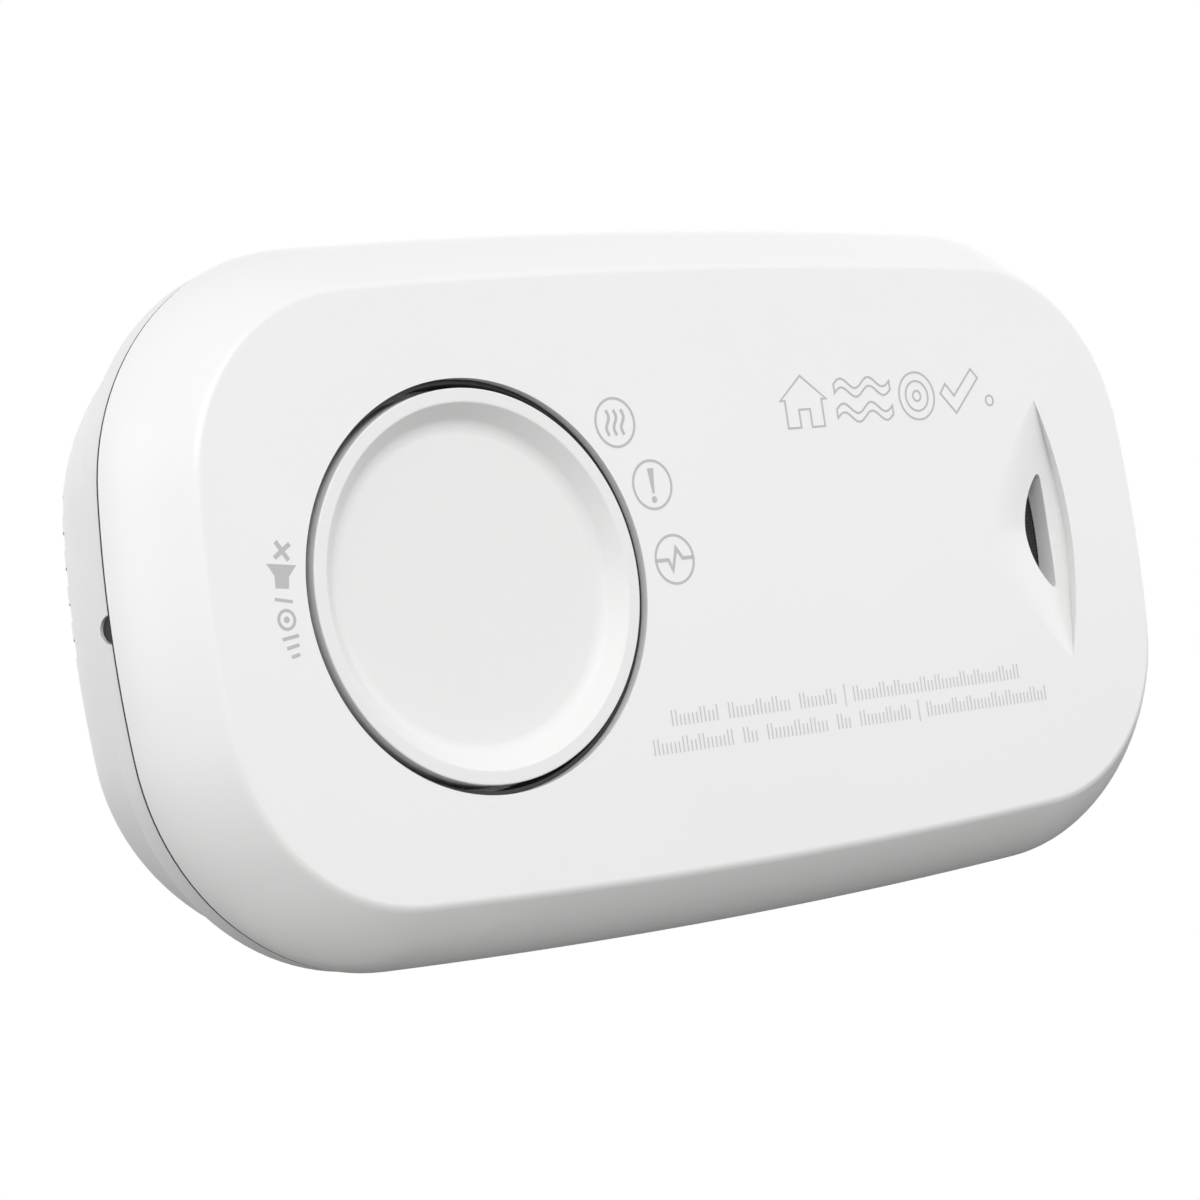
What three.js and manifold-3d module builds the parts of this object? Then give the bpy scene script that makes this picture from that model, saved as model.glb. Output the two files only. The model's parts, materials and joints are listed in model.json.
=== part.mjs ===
// Carbon monoxide detector on its wall plate, in millimetres.
// +Z is up in use and the front faces -Y. The origin is the middle of the wall plate's back face.
// Depths are measured from the front face towards the wall: y = depth - TOTAL_DEPTH.
import * as THREE from "three";
import { mergeVertices } from "three/addons/utils/BufferGeometryUtils.js";
import Module from "manifold-3d";

const wasm = await Module();
wasm.setup();

// Driving dimensions
const TOTAL_DEPTH = 33;
const HALF_WIDTH = 60;
const HALF_HEIGHT = 32.3;
const END_RADIUS = 119;
const SIDE_RADIUS = 822;
const CORNER_RADIUS = 22.4;
const WALL = 2;
const GAP = 0.3;
const ROUND_STEPS = 32;

const SHOULDER_INSET = 5;
const SHOULDER_POWER = 1.6;
const PARTING_DEPTH = 7.5;
const BACK_DEPTH = 30;
const BACK_INSET = 13.5;

const BUTTON = { x: -27.4, z: 0.1 };
const BUTTON_OPENING_RADIUS = 18.1;
const BUTTON_RADIUS = 17.25;
const FLANGE_RADIUS = 19.2;
const COLLAR_END_DEPTH = 4.2;

const SOUNDER = { x: 29.5, z: 0 };
const SOUNDER_RADIUS = 16.2;
const SCOOP_ARC = { x: 10.25, z: 0, radius: 35.35 };
const SCOOP_DEPTH = 1.35;

const BOARD_DEPTH = 11;
const BOARD_THICKNESS = 1.6;
const BOARD_INSET = 9.5;
const BOARD_BACK = BOARD_DEPTH + BOARD_THICKNESS;

const CASE_SCREWS = [[-44, 19], [44, 19], [-44, -19], [44, -19]];
const CASE_SCREW_SEAT_DEPTH = 24.4;
const BOARD_SCREWS = [[2, 20], [2, -20]];
const LAMP_ANGLES = [37.9, 20.2, 1.6];
const LAMP_ORBIT = 21.7;

const CELL = { x: 10.5, z: -9.5, depth: 20.4, radius: 7.1, length: 49 };
const SENSOR = { x: -36, z: 5, radius: 8.2 };

const PLATE_INSET = 15;
const PLATE_THICKNESS = 2.6;
const HOOKS = [[-27, 11.5], [27, 11.5], [-41.5, -3], [41.5, -3]];
const HOOK = { width: 5.6, sideRoom: 0.5, stem: 2, lip: 4.5, lipThickness: 1.6, reach: 4.3 };
const LIFT_TRAVEL = 5.2;
const KEYHOLES = [-30, 30];

const VENT_COUNT = 6;
const VENT_PITCH = 3.1;
const VENT_WIDTH = 1.6;
const VENT_FIRST_Z = -0.25;

const WHITE = { color: 0xf1f1ef, roughness: 0.28, metalness: 0 };
const WHITE_MATT = { color: 0xe8e8e6, roughness: 0.5, metalness: 0 };
const BLACK = { color: 0x17181a, roughness: 0.6, metalness: 0 };
const BOARD_GREEN = { color: 0x1d5a38, roughness: 0.5, metalness: 0 };
const CLEAR = { color: 0xdfe6ea, roughness: 0.15, metalness: 0 };
const RUBBER = { color: 0x2a2b2d, roughness: 0.85, metalness: 0 };
const STEEL = { color: 0xb9bcc0, roughness: 0.3, metalness: 1 };
const BRASS = { color: 0xc9a24f, roughness: 0.3, metalness: 1 };
const CERAMIC = { color: 0xd9d6cc, roughness: 0.6, metalness: 0 };
const SLEEVE = { color: 0x2c5f9e, roughness: 0.35, metalness: 0 };

// The y of a depth behind the front face
function yAt(depth) {
  return depth - TOTAL_DEPTH;
}

// ---- Solids ----

function solid(geometry) {
  const bare = geometry.clone();
  bare.deleteAttribute("normal");
  bare.deleteAttribute("uv");
  const merged = mergeVertices(bare, 1e-4);
  const triVerts = new Uint32Array(merged.index.array);
  const vertProperties = new Float32Array(merged.attributes.position.array);
  return new wasm.Manifold(new wasm.Mesh({ numProp: 3, vertProperties, triVerts }));
}

function geometryOf(manifold) {
  const { numProp, vertProperties, triVerts } = manifold.getMesh();
  const positions = new Float32Array((vertProperties.length / numProp) * 3);
  for (let i = 0; i < positions.length / 3; i += 1) {
    for (let k = 0; k < 3; k += 1) {
      positions[3 * i + k] = vertProperties[numProp * i + k];
    }
  }
  const geometry = new THREE.BufferGeometry();
  geometry.setAttribute("position", new THREE.BufferAttribute(positions, 3));
  geometry.setIndex(new THREE.BufferAttribute(new Uint32Array(triVerts), 1));
  geometry.computeVertexNormals();
  return geometry;
}

function piece(name, manifold, look) {
  const mesh = new THREE.Mesh(geometryOf(manifold), new THREE.MeshStandardMaterial(look));
  mesh.name = name;
  return mesh;
}

function box(xRange, depthRange, zRange) {
  const spans = [xRange, depthRange.map(yAt), zRange];
  const geometry = new THREE.BoxGeometry(...spans.map(([low, high]) => high - low));
  geometry.translate(...spans.map(([low, high]) => (low + high) / 2));
  return solid(geometry);
}

// A round bar along Y, from one depth to another
function bar(place, radius, depthRange, steps = ROUND_STEPS) {
  const [front, back] = depthRange.map(yAt);
  const geometry = new THREE.CylinderGeometry(radius, radius, back - front, steps);
  geometry.translate(place.x, (front + back) / 2, place.z);
  return solid(geometry);
}

function tube(place, outer, inner, depthRange, steps = ROUND_STEPS) {
  const [front, back] = depthRange;
  return bar(place, outer, depthRange, steps).subtract(bar(place, inner, [front - 1, back + 1], steps));
}

// A turned piece about Y: the profile is a list of [radius, depth] from the front axis point round to
// the back axis point
function turned(place, profile, steps = ROUND_STEPS) {
  const points = profile.map(([radius, depth]) => new THREE.Vector2(radius, yAt(depth)));
  const geometry = new THREE.LatheGeometry(points, steps);
  geometry.translate(place.x, 0, place.z);
  return solid(geometry);
}

// ---- The outline that the cover, housing, board and wall plate share ----

// The corner arc touches the bowed side and the bowed end from inside
function cornerCentre() {
  const side = new THREE.Vector2(0, HALF_HEIGHT - SIDE_RADIUS);
  const end = new THREE.Vector2(HALF_WIDTH - END_RADIUS, 0);
  const toSide = SIDE_RADIUS - CORNER_RADIUS;
  const toEnd = END_RADIUS - CORNER_RADIUS;
  const across = end.clone().sub(side);
  const span = across.length();
  const along = (toSide ** 2 - toEnd ** 2 + span ** 2) / (2 * span);
  const height = Math.sqrt(toSide ** 2 - along ** 2);
  const unit = across.divideScalar(span);
  const foot = side.clone().addScaledVector(unit, along);
  return foot.addScaledVector(new THREE.Vector2(unit.y, -unit.x), height);
}

function arcPoints(centre, radius, from, to, steps) {
  const points = [];
  for (let i = 0; i < steps; i += 1) {
    const angle = from + ((to - from) * i) / steps;
    const nx = Math.cos(angle);
    const nz = Math.sin(angle);
    points.push({ x: centre.x + radius * nx, z: centre.y + radius * nz, nx, nz });
  }
  return points;
}

// One quarter of the outline, from the +X end to the +Z side, each point with its outward normal
function outlineQuarter() {
  const side = new THREE.Vector2(0, HALF_HEIGHT - SIDE_RADIUS);
  const end = new THREE.Vector2(HALF_WIDTH - END_RADIUS, 0);
  const corner = cornerCentre();
  const endTurn = Math.atan2(corner.y - end.y, corner.x - end.x);
  const sideTurn = Math.atan2(corner.y - side.y, corner.x - side.x);
  return [
    ...arcPoints(end, END_RADIUS, 0, endTurn, 3),
    ...arcPoints(corner, CORNER_RADIUS, endTurn, sideTurn, 7),
    ...arcPoints(side, SIDE_RADIUS, sideTurn, Math.PI / 2, 3),
  ];
}

function wholeOutline() {
  const quarter = outlineQuarter();
  const top = { x: 0, z: HALF_HEIGHT, nx: 0, nz: 1 };
  const mirror = (p, sx, sz) => ({ x: sx * p.x, z: sz * p.z, nx: sx * p.nx, nz: sz * p.nz });
  const upper = [...quarter, top, ...quarter.toReversed().map((p) => mirror(p, -1, 1))];
  const inner = upper.slice(1, -1).toReversed();
  return [...upper, ...inner.map((p) => mirror(p, 1, -1))];
}

const OUTLINE = wholeOutline();

function ring(inset, depth) {
  const y = yAt(depth);
  return OUTLINE.map((p) => [p.x - inset * p.nx, y, p.z - inset * p.nz]);
}

// A closed skin through rings given from front to back round the section, capped at both ends
function loft(profile) {
  const rings = profile.map(([inset, depth]) => ring(inset, depth));
  const count = OUTLINE.length;
  const positions = rings.flat(2);
  const first = rings.length * count;
  positions.push(0, yAt(profile[0][1]), 0, 0, yAt(profile.at(-1)[1]), 0);
  const triangles = [];
  for (let i = 0; i < count; i += 1) {
    const next = (i + 1) % count;
    triangles.push(first, i, next);
    for (let r = 0; r + 1 < rings.length; r += 1) {
      const a = r * count;
      const b = a + count;
      triangles.push(a + i, b + i, a + next, a + next, b + i, b + next);
    }
    const last = (rings.length - 1) * count;
    triangles.push(first + 1, last + next, last + i);
  }
  const geometry = new THREE.BufferGeometry();
  geometry.setAttribute("position", new THREE.Float32BufferAttribute(positions, 3));
  geometry.setIndex(triangles);
  return solid(geometry);
}

function slab(inset, depthRange) {
  return loft(depthRange.map((depth) => [inset, depth]));
}

// ---- Front cover ----

const INNER_SHOULDER = SHOULDER_INSET + 0.4;
const ROOT_DEPTH = 1.5; // where ribs and bosses start, inside the face's wall
const RIB_WALL = 1.5;
const SOUNDER_RIB_END = 7.6;
const SOUND_PAD = { x: [35, 47.5], depth: [ROOT_DEPTH, 3.4], z: [-13, 13] };
const CASE_BOSS = { radius: 3.1, end: 21.5, bore: 1.55, boreStart: 9 };
const BOARD_BOSS = { radius: 2.6, bore: 1.25, boreStart: 4 };
const SCOOP_EGG = { halfWidth: 15.4, halfDepth: 10, halfHeight: 25 };
const SLOT = { x: 47.3, radius: 7.3, arcRadius: 33.5, depth: [-1, 5] };
const CUT = 1; // how far a cutter runs past the face it cuts

function shoulder(inset, from, to, steps) {
  const points = [];
  for (let i = 0; i <= steps; i += 1) {
    const t = i / steps;
    points.push([inset * (1 - t) ** SHOULDER_POWER, from + (to - from) * t]);
  }
  return points;
}

function coverShell() {
  const outside = shoulder(SHOULDER_INSET, 0, PARTING_DEPTH, 6);
  const inside = shoulder(INNER_SHOULDER, WALL, PARTING_DEPTH, 4);
  const lined = inside.map(([inset, depth]) => [inset + WALL, depth]);
  return loft([...outside, ...lined.toReversed()]);
}

// The scoop is the front end of an egg-shaped cutter, stopped by an upright arc wall on the right
function scoop() {
  const { halfWidth, halfDepth, halfHeight } = SCOOP_EGG;
  const egg = new THREE.SphereGeometry(1, 48, 36);
  egg.scale(halfWidth, halfDepth, halfHeight);
  egg.translate(SCOOP_ARC.x + SCOOP_ARC.radius, yAt(SCOOP_DEPTH - halfDepth), 0);
  return solid(egg).intersect(bar(SCOOP_ARC, SCOOP_ARC.radius, [-3, 3], 96));
}

function soundSlot() {
  const left = bar({ x: SLOT.x, z: 0 }, SLOT.radius, SLOT.depth);
  return left.intersect(bar(SCOOP_ARC, SLOT.arcRadius, SLOT.depth, 96));
}

function frontCover() {
  let cover = coverShell();
  const collar = [ROOT_DEPTH, COLLAR_END_DEPTH];
  const rib = [ROOT_DEPTH, SOUNDER_RIB_END];
  cover = cover.add(tube(BUTTON, BUTTON_OPENING_RADIUS + RIB_WALL, BUTTON_RADIUS, collar, 48));
  cover = cover.add(tube(SOUNDER, SOUNDER_RADIUS, SOUNDER_RADIUS - RIB_WALL, rib, 48));
  cover = cover.add(box(SOUND_PAD.x, SOUND_PAD.depth, SOUND_PAD.z));
  for (const [x, z] of CASE_SCREWS) {
    cover = cover.add(bar({ x, z }, CASE_BOSS.radius, [ROOT_DEPTH, CASE_BOSS.end], 20));
    cover = cover.subtract(bar({ x, z }, CASE_BOSS.bore, [CASE_BOSS.boreStart, CASE_BOSS.end + CUT], 16));
  }
  for (const [x, z] of BOARD_SCREWS) {
    cover = cover.add(bar({ x, z }, BOARD_BOSS.radius, [ROOT_DEPTH, BOARD_DEPTH - GAP], 20));
    cover = cover.subtract(bar({ x, z }, BOARD_BOSS.bore, [BOARD_BOSS.boreStart, BOARD_DEPTH], 16));
  }
  cover = cover.subtract(bar(BUTTON, BUTTON_OPENING_RADIUS, [-CUT, COLLAR_END_DEPTH + CUT], 48));
  return cover.subtract(scoop()).subtract(soundSlot());
}

// ---- Rear housing ----

const DRAFT_START = { inset: 1.1, depth: 10.9 };
const DRAFT_END_DEPTH = 17;
const DRAFT = 0.28;
const INNER_BACK_INSET = BACK_INSET - 1.4;
const TONGUE = { outer: 2.85, inner: 3.9, front: 6.2, back: 9.6 };
const RIM = { inset: 0.25, front: PARTING_DEPTH + GAP, back: 10.5 };
const VENT = { x: [-62, -47.5], depth: [21.35, BACK_DEPTH + CUT] };
const PRY_NOTCH = { radius: 1.25, length: 4.6, z: 0.1 };
const SADDLE = { places: [-5, 27], halfWidth: 1, front: 22, halfHeight: 7.5 };
const POST = { radius: 4.6, back: BACK_DEPTH - 2.5, counterbore: 3.3, hole: 1.6, clearOfSide: 0.4 };

// The inset of the tray's side at a depth: a straight draft, then an elliptical turn to the back
function trayInset(depth, backDepth, backInset) {
  const start = DRAFT_START.inset + DRAFT * (DRAFT_END_DEPTH - DRAFT_START.depth);
  const past = depth - DRAFT_END_DEPTH;
  if (past <= 0) {
    return start + DRAFT * past;
  }
  const reach = backDepth - DRAFT_END_DEPTH;
  const turn = backInset - start - DRAFT * reach;
  return start + DRAFT * past + turn * (1 - Math.sqrt(1 - (past / reach) ** 2));
}

function traySide(backDepth, backInset, added) {
  const points = [[DRAFT_START.inset + added, DRAFT_START.depth]];
  const steps = 5;
  for (let i = 0; i <= steps; i += 1) {
    const turn = (i / steps) * (Math.PI / 2);
    const depth = DRAFT_END_DEPTH + (backDepth - DRAFT_END_DEPTH) * Math.sin(turn);
    points.push([trayInset(depth, backDepth, backInset) + added, depth]);
  }
  return points;
}

function trayShell() {
  const outside = traySide(BACK_DEPTH, BACK_INSET, 0);
  const inside = traySide(BACK_DEPTH - WALL, INNER_BACK_INSET, WALL);
  const rim = [
    [TONGUE.inner, TONGUE.back],
    [TONGUE.inner, TONGUE.front],
    [TONGUE.outer, TONGUE.front],
    [TONGUE.outer, RIM.front],
    [RIM.inset, RIM.front],
    [RIM.inset, RIM.back],
  ];
  return loft([...inside.toReversed(), ...rim, ...outside]);
}

function vents() {
  const slots = [];
  for (let i = 0; i < VENT_COUNT; i += 1) {
    const z = VENT_FIRST_Z + VENT_PITCH * i;
    slots.push(box(VENT.x, VENT.depth, [z - VENT_WIDTH / 2, z + VENT_WIDTH / 2]));
  }
  return slots;
}

// A half-round pry notch in the rim, on the left end at the parting line
function pryNotch() {
  const { radius, length, z } = PRY_NOTCH;
  const geometry = new THREE.CylinderGeometry(radius, radius, length, 24);
  geometry.rotateZ(Math.PI / 2);
  geometry.translate(-HALF_WIDTH, yAt(RIM.front), z);
  return solid(geometry);
}

function hookSlot([x, z]) {
  const half = HOOK.width / 2 + HOOK.sideRoom;
  const low = z - HOOK.stem / 2 - LIFT_TRAVEL - GAP;
  const depths = [BACK_DEPTH - WALL - CUT, BACK_DEPTH + CUT];
  return box([x - half, x + half], depths, [low, z + HOOK.stem / 2 + GAP]);
}

function cellSaddle(x) {
  const { halfWidth, front, halfHeight } = SADDLE;
  const heights = [CELL.z - halfHeight, CELL.z + halfHeight];
  const block = box([x - halfWidth, x + halfWidth], [front, BACK_DEPTH - WALL / 2], heights);
  const bore = new THREE.CylinderGeometry(CELL.radius + GAP, CELL.radius + GAP, 4 * halfWidth, ROUND_STEPS);
  bore.rotateZ(Math.PI / 2);
  bore.translate(x, yAt(CELL.depth), CELL.z);
  return block.subtract(solid(bore));
}

function rearHousing() {
  let tray = trayShell();
  for (const x of SADDLE.places) {
    tray = tray.add(cellSaddle(x));
  }
  const filledTray = loft(traySide(BACK_DEPTH, BACK_INSET, POST.clearOfSide));
  for (const [x, z] of CASE_SCREWS) {
    const post = bar({ x, z }, POST.radius, [CASE_BOSS.end + GAP, POST.back], 24);
    tray = tray.add(post.intersect(filledTray));
    tray = tray.subtract(bar({ x, z }, POST.counterbore, [CASE_SCREW_SEAT_DEPTH, BACK_DEPTH + CUT], 24));
    tray = tray.subtract(bar({ x, z }, POST.hole, [CASE_BOSS.end, BACK_DEPTH], 16));
  }
  for (const slot of [...vents(), ...HOOKS.map(hookSlot), pryNotch()]) {
    tray = tray.subtract(slot);
  }
  return tray;
}

// ---- Wall plate ----

const KEYHOLE = { entryRadius: 4.2, entryZ: -5.5, neckRadius: 2.2, neckZ: 1.5, depth: [28, 34] };

function keyhole(x) {
  const { entryRadius, entryZ, neckRadius, neckZ, depth } = KEYHOLE;
  const entry = bar({ x, z: entryZ }, entryRadius, depth, 24);
  const neck = box([x - neckRadius, x + neckRadius], depth, [entryZ, neckZ]);
  return entry.add(neck).add(bar({ x, z: neckZ }, neckRadius, depth, 24));
}

function hook([x, z]) {
  const sides = [x - HOOK.width / 2, x + HOOK.width / 2];
  const front = TOTAL_DEPTH - PLATE_THICKNESS - HOOK.reach;
  const top = z + HOOK.stem / 2;
  const stem = box(sides, [front, TOTAL_DEPTH - 1], [z - HOOK.stem / 2, top]);
  return stem.add(box(sides, [front, front + HOOK.lipThickness], [top - 1, top + HOOK.lip]));
}

function wallPlate() {
  let plate = slab(PLATE_INSET, [TOTAL_DEPTH - PLATE_THICKNESS, TOTAL_DEPTH]);
  for (const place of HOOKS) {
    plate = plate.add(hook(place));
  }
  for (const x of KEYHOLES) {
    plate = plate.subtract(keyhole(x));
  }
  return plate;
}

// ---- Test button, its spring and its switch ----

const CAP_INSIDE_DEPTH = 3.2;
const CAP_ROOT_DEPTH = 3; // where the spring seat and stem start, inside the cap
const SEAT = { outer: 5.8, inner: 4.8, end: 4.6 };
const STEM = { radius: 2.4, end: 5.7 };
const SPRING = { radius: 6.5, wire: 0.35, turns: 4.5, start: 3.85, length: 6.5 };
const SWITCH = { half: 3, front: 7.5, bore: 2, boreEnd: 10.2 };
const PLUNGER = { radius: 1.7, end: 8.9 };

function testButton() {
  const cap = turned(BUTTON, [
    [0, 1.7],
    [14.1, 1.6],
    [15.2, 0.9],
    [16, 0.1],
    [16.8, 0],
    [BUTTON_RADIUS, 0.5],
    [BUTTON_RADIUS, 4.6],
    [FLANGE_RADIUS, 4.6],
    [FLANGE_RADIUS, 5.8],
    [15.9, 5.8],
    [15.9, CAP_INSIDE_DEPTH],
    [0, CAP_INSIDE_DEPTH],
  ], 48);
  const seat = tube(BUTTON, SEAT.outer, SEAT.inner, [CAP_ROOT_DEPTH, SEAT.end], 24);
  return cap.add(seat).add(bar(BUTTON, STEM.radius, [CAP_ROOT_DEPTH, STEM.end], 20));
}

class CoilCurve extends THREE.Curve {
  getPoint(t) {
    const { radius, turns, start, length } = SPRING;
    const angle = 2 * Math.PI * turns * t;
    const x = BUTTON.x + radius * Math.cos(angle);
    return new THREE.Vector3(x, yAt(start + length * t), BUTTON.z + radius * Math.sin(angle));
  }
}

function returnSpring() {
  const wire = new THREE.Shape().absarc(0, 0, SPRING.wire, 0, 2 * Math.PI);
  const options = { steps: 60, curveSegments: 6, extrudePath: new CoilCurve(), bevelEnabled: false };
  return solid(new THREE.ExtrudeGeometry(wire, options));
}

function switchBody() {
  const { x, z } = BUTTON;
  const { half, front, bore, boreEnd } = SWITCH;
  const block = box([x - half, x + half], [front, BOARD_DEPTH - GAP], [z - half, z + half]);
  return block.subtract(bar(BUTTON, bore, [front - CUT, boreEnd], 20));
}

function switchPlunger() {
  return bar(BUTTON, PLUNGER.radius, [STEM.end + GAP, PLUNGER.end], 20);
}

// ---- Circuit board and what it carries ----

const ON_BOARD = BOARD_BACK + GAP; // where the pieces on the board's back start
const BOARD_NOTCH_RADIUS = 3.7;
const BOARD_HOLE_RADIUS = 1.5;
const CHIP = { x: [-3, 5], depth: [9.4, BOARD_DEPTH - GAP], z: [-12, -4] };
const COIL = { x: 13, z: 11 };
const CAPACITOR_Z = 10;
const HEADER = { x: [-44, -31], depth: [ON_BOARD, 15.4], z: [-14.3, -11.7] };
const PIN = { count: 5, firstX: -42.6, pitch: 2.54, half: 0.32, z: -13, depth: [15, 21] };

function circuitBoard() {
  const through = [BOARD_DEPTH - CUT, BOARD_BACK + CUT];
  let board = slab(BOARD_INSET, [BOARD_DEPTH, BOARD_BACK]);
  for (const [x, z] of CASE_SCREWS) {
    board = board.subtract(bar({ x, z }, BOARD_NOTCH_RADIUS, through, 20));
  }
  for (const [x, z] of BOARD_SCREWS) {
    board = board.subtract(bar({ x, z }, BOARD_HOLE_RADIUS, through, 16));
  }
  return board;
}

// A pan-head screw with a cross recess: its head is at the back and its tip points to the front
function screw([x, z], { seat, tip, shank, head, height }) {
  const blade = 0.3;
  const reach = head * 0.55;
  const body = turned({ x, z }, [
    [0, tip],
    [shank * 0.5, tip],
    [shank, tip + 1.5],
    [shank, seat],
    [head, seat],
    [head, seat + height * 0.6],
    [head * 0.7, seat + height],
    [0, seat + height],
  ], 16);
  const recess = [seat + height * 0.4, seat + height + 1];
  const across = box([x - reach, x + reach], recess, [z - blade, z + blade]);
  const along = box([x - blade, x + blade], recess, [z - reach, z + reach]);
  return body.subtract(across.add(along));
}

function mcuChip() {
  return box(CHIP.x, CHIP.depth, CHIP.z);
}

function boostCoil() {
  const flange = [[0, ON_BOARD], [5.5, ON_BOARD], [5.5, 14], [4, 14]];
  return turned(COIL, [...flange, [4, 19], [5.5, 19], [5.5, 20.1], [0, 20.1]], 24);
}

function capacitor(x) {
  const foot = [[0, ON_BOARD], [3.9, ON_BOARD], [3.9, 14], [3.6, 14.4]];
  return turned({ x, z: CAPACITOR_Z }, [...foot, [4, 14.9], [4, 23.5], [3.6, 24], [0, 24]], 24);
}

function pinHeader() {
  const { count, firstX, pitch, half, z, depth } = PIN;
  let header = box(HEADER.x, HEADER.depth, HEADER.z);
  for (let i = 0; i < count; i += 1) {
    const x = firstX + pitch * i;
    header = header.add(box([x - half, x + half], depth, [z - half, z + half]));
  }
  return header;
}

// ---- Lamps ----

const LIGHT_PIPE = { radius: 1.6, depth: [WALL + GAP, 6.5] };
const SHIELD = { outer: 24.6, inner: 18.6, front: 7.3, angles: [-7, 47], bore: 2 };

function lampPlace(angle) {
  const turn = THREE.MathUtils.degToRad(angle);
  return { x: BUTTON.x + LAMP_ORBIT * Math.cos(turn), z: BUTTON.z + LAMP_ORBIT * Math.sin(turn) };
}

function lamp(angle) {
  const dome = [[0, 6.9], [0.8, 7.1], [1.3, 7.6], [1.5, 8.4]];
  const profile = [...dome, [1.5, 9.9], [1.7, 9.9], [1.7, 10.7], [0, 10.7]];
  return turned(lampPlace(angle), profile, 16);
}

function lightPipe(angle) {
  return bar(lampPlace(angle), LIGHT_PIPE.radius, LIGHT_PIPE.depth, 16);
}

function lightShield() {
  const depths = [SHIELD.front, BOARD_DEPTH - GAP];
  let shield = tube(BUTTON, SHIELD.outer, SHIELD.inner, depths, 96);
  const side = 1.6 * SHIELD.outer;
  const sector = new THREE.Shape();
  sector.moveTo(0, 0);
  for (const angle of SHIELD.angles.map(THREE.MathUtils.degToRad)) {
    sector.lineTo(side * Math.cos(angle), side * Math.sin(angle));
  }
  const wedge = new THREE.ExtrudeGeometry(sector, { depth: 10, bevelEnabled: false });
  wedge.rotateX(Math.PI / 2);
  wedge.translate(BUTTON.x, yAt(15), BUTTON.z);
  shield = shield.intersect(solid(wedge));
  for (const angle of LAMP_ANGLES) {
    shield = shield.subtract(bar(lampPlace(angle), SHIELD.bore, [depths[0] - CUT, depths[1] + CUT], 16));
  }
  return shield;
}

// ---- Sounder ----

const GASKET = { outer: 16.1, inner: 14.4, depth: [7.8, 8.5] };
const DIAPHRAGM = { radius: 15.6, depth: [8.65, 8.95] };
const CERAMIC_DISC = { radius: 10.5, depth: [9.1, 9.35] };
const RETAINER = { inner: 12.5, depth: [9.15, BOARD_DEPTH - GAP], notchHalf: 2, notchDepth: [9.8, 12] };

function sounderGasket() {
  return tube(SOUNDER, GASKET.outer, GASKET.inner, GASKET.depth);
}

function sounderDiaphragm() {
  return bar(SOUNDER, DIAPHRAGM.radius, DIAPHRAGM.depth);
}

function sounderCeramic() {
  return bar(SOUNDER, CERAMIC_DISC.radius, CERAMIC_DISC.depth);
}

function sounderRetainer() {
  const { inner, depth, notchHalf, notchDepth } = RETAINER;
  const ringPart = tube(SOUNDER, SOUNDER_RADIUS, inner, depth);
  return ringPart.subtract(box([SOUNDER.x - notchHalf, SOUNDER.x + notchHalf], notchDepth, [-20, 20]));
}

// ---- Gas sensor ----

const SENSOR_SEAL = { outer: 7.6, inner: 5.8, depth: [21.15, 21.9] };
const CAP_HOLES = { count: 6, radius: 0.7, orbit: 3.4 };

function sensorCan() {
  const { radius } = SENSOR;
  const profile = [[0, ON_BOARD], [radius, ON_BOARD], [radius, 13.6], [radius - 0.4, 13.9]];
  profile.push([radius - 0.4, 20.4], [radius - 0.9, 21], [0, 21]);
  return turned(SENSOR, profile, 32);
}

function sensorSeal() {
  return tube(SENSOR, SENSOR_SEAL.outer, SENSOR_SEAL.inner, SENSOR_SEAL.depth);
}

function sensorCap() {
  const { radius } = SENSOR;
  const profile = [[0, 22.05], [radius, 22.05], [radius, 24], [radius - 0.8, 24.8], [0, 24.8]];
  let cap = turned(SENSOR, profile, 32);
  const { count, radius: holeRadius, orbit } = CAP_HOLES;
  for (let i = 0; i < count; i += 1) {
    const turn = (2 * Math.PI * i) / count;
    const place = { x: SENSOR.x + orbit * Math.cos(turn), z: SENSOR.z + orbit * Math.sin(turn) };
    cap = cap.subtract(bar(place, holeRadius, [21, 26], 12));
  }
  return cap;
}

// ---- Lithium cell ----

function lithiumCell() {
  const { radius, length } = CELL;
  const half = length / 2;
  const corner = 0.6;
  const profile = [
    [0, -half],
    [radius - corner, -half],
    [radius, corner - half],
    [radius, half - corner],
    [radius - corner, half],
    [3, half],
    [3, half + 1],
    [0, half + 1],
  ];
  const points = profile.map(([r, along]) => new THREE.Vector2(r, along));
  const geometry = new THREE.LatheGeometry(points, ROUND_STEPS);
  geometry.rotateZ(-Math.PI / 2);
  geometry.translate(CELL.x, yAt(CELL.depth), CELL.z);
  return solid(geometry);
}

function cellTab(x) {
  const thin = 0.15;
  const half = 2.5;
  return box([x - thin, x + thin], [ON_BOARD, CELL.depth + half], [CELL.z - half, CELL.z + half]);
}

// ---- Assembly ----

const CASE_SCREW = { seat: CASE_SCREW_SEAT_DEPTH + GAP, tip: 11, shank: 1.25, head: 2.7, height: 1.9 };
const BOARD_SCREW = { seat: BOARD_BACK + GAP, tip: 5, shank: 0.95, head: 2.1, height: 1.4 };
const CELL_END = CELL.length / 2;

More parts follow.
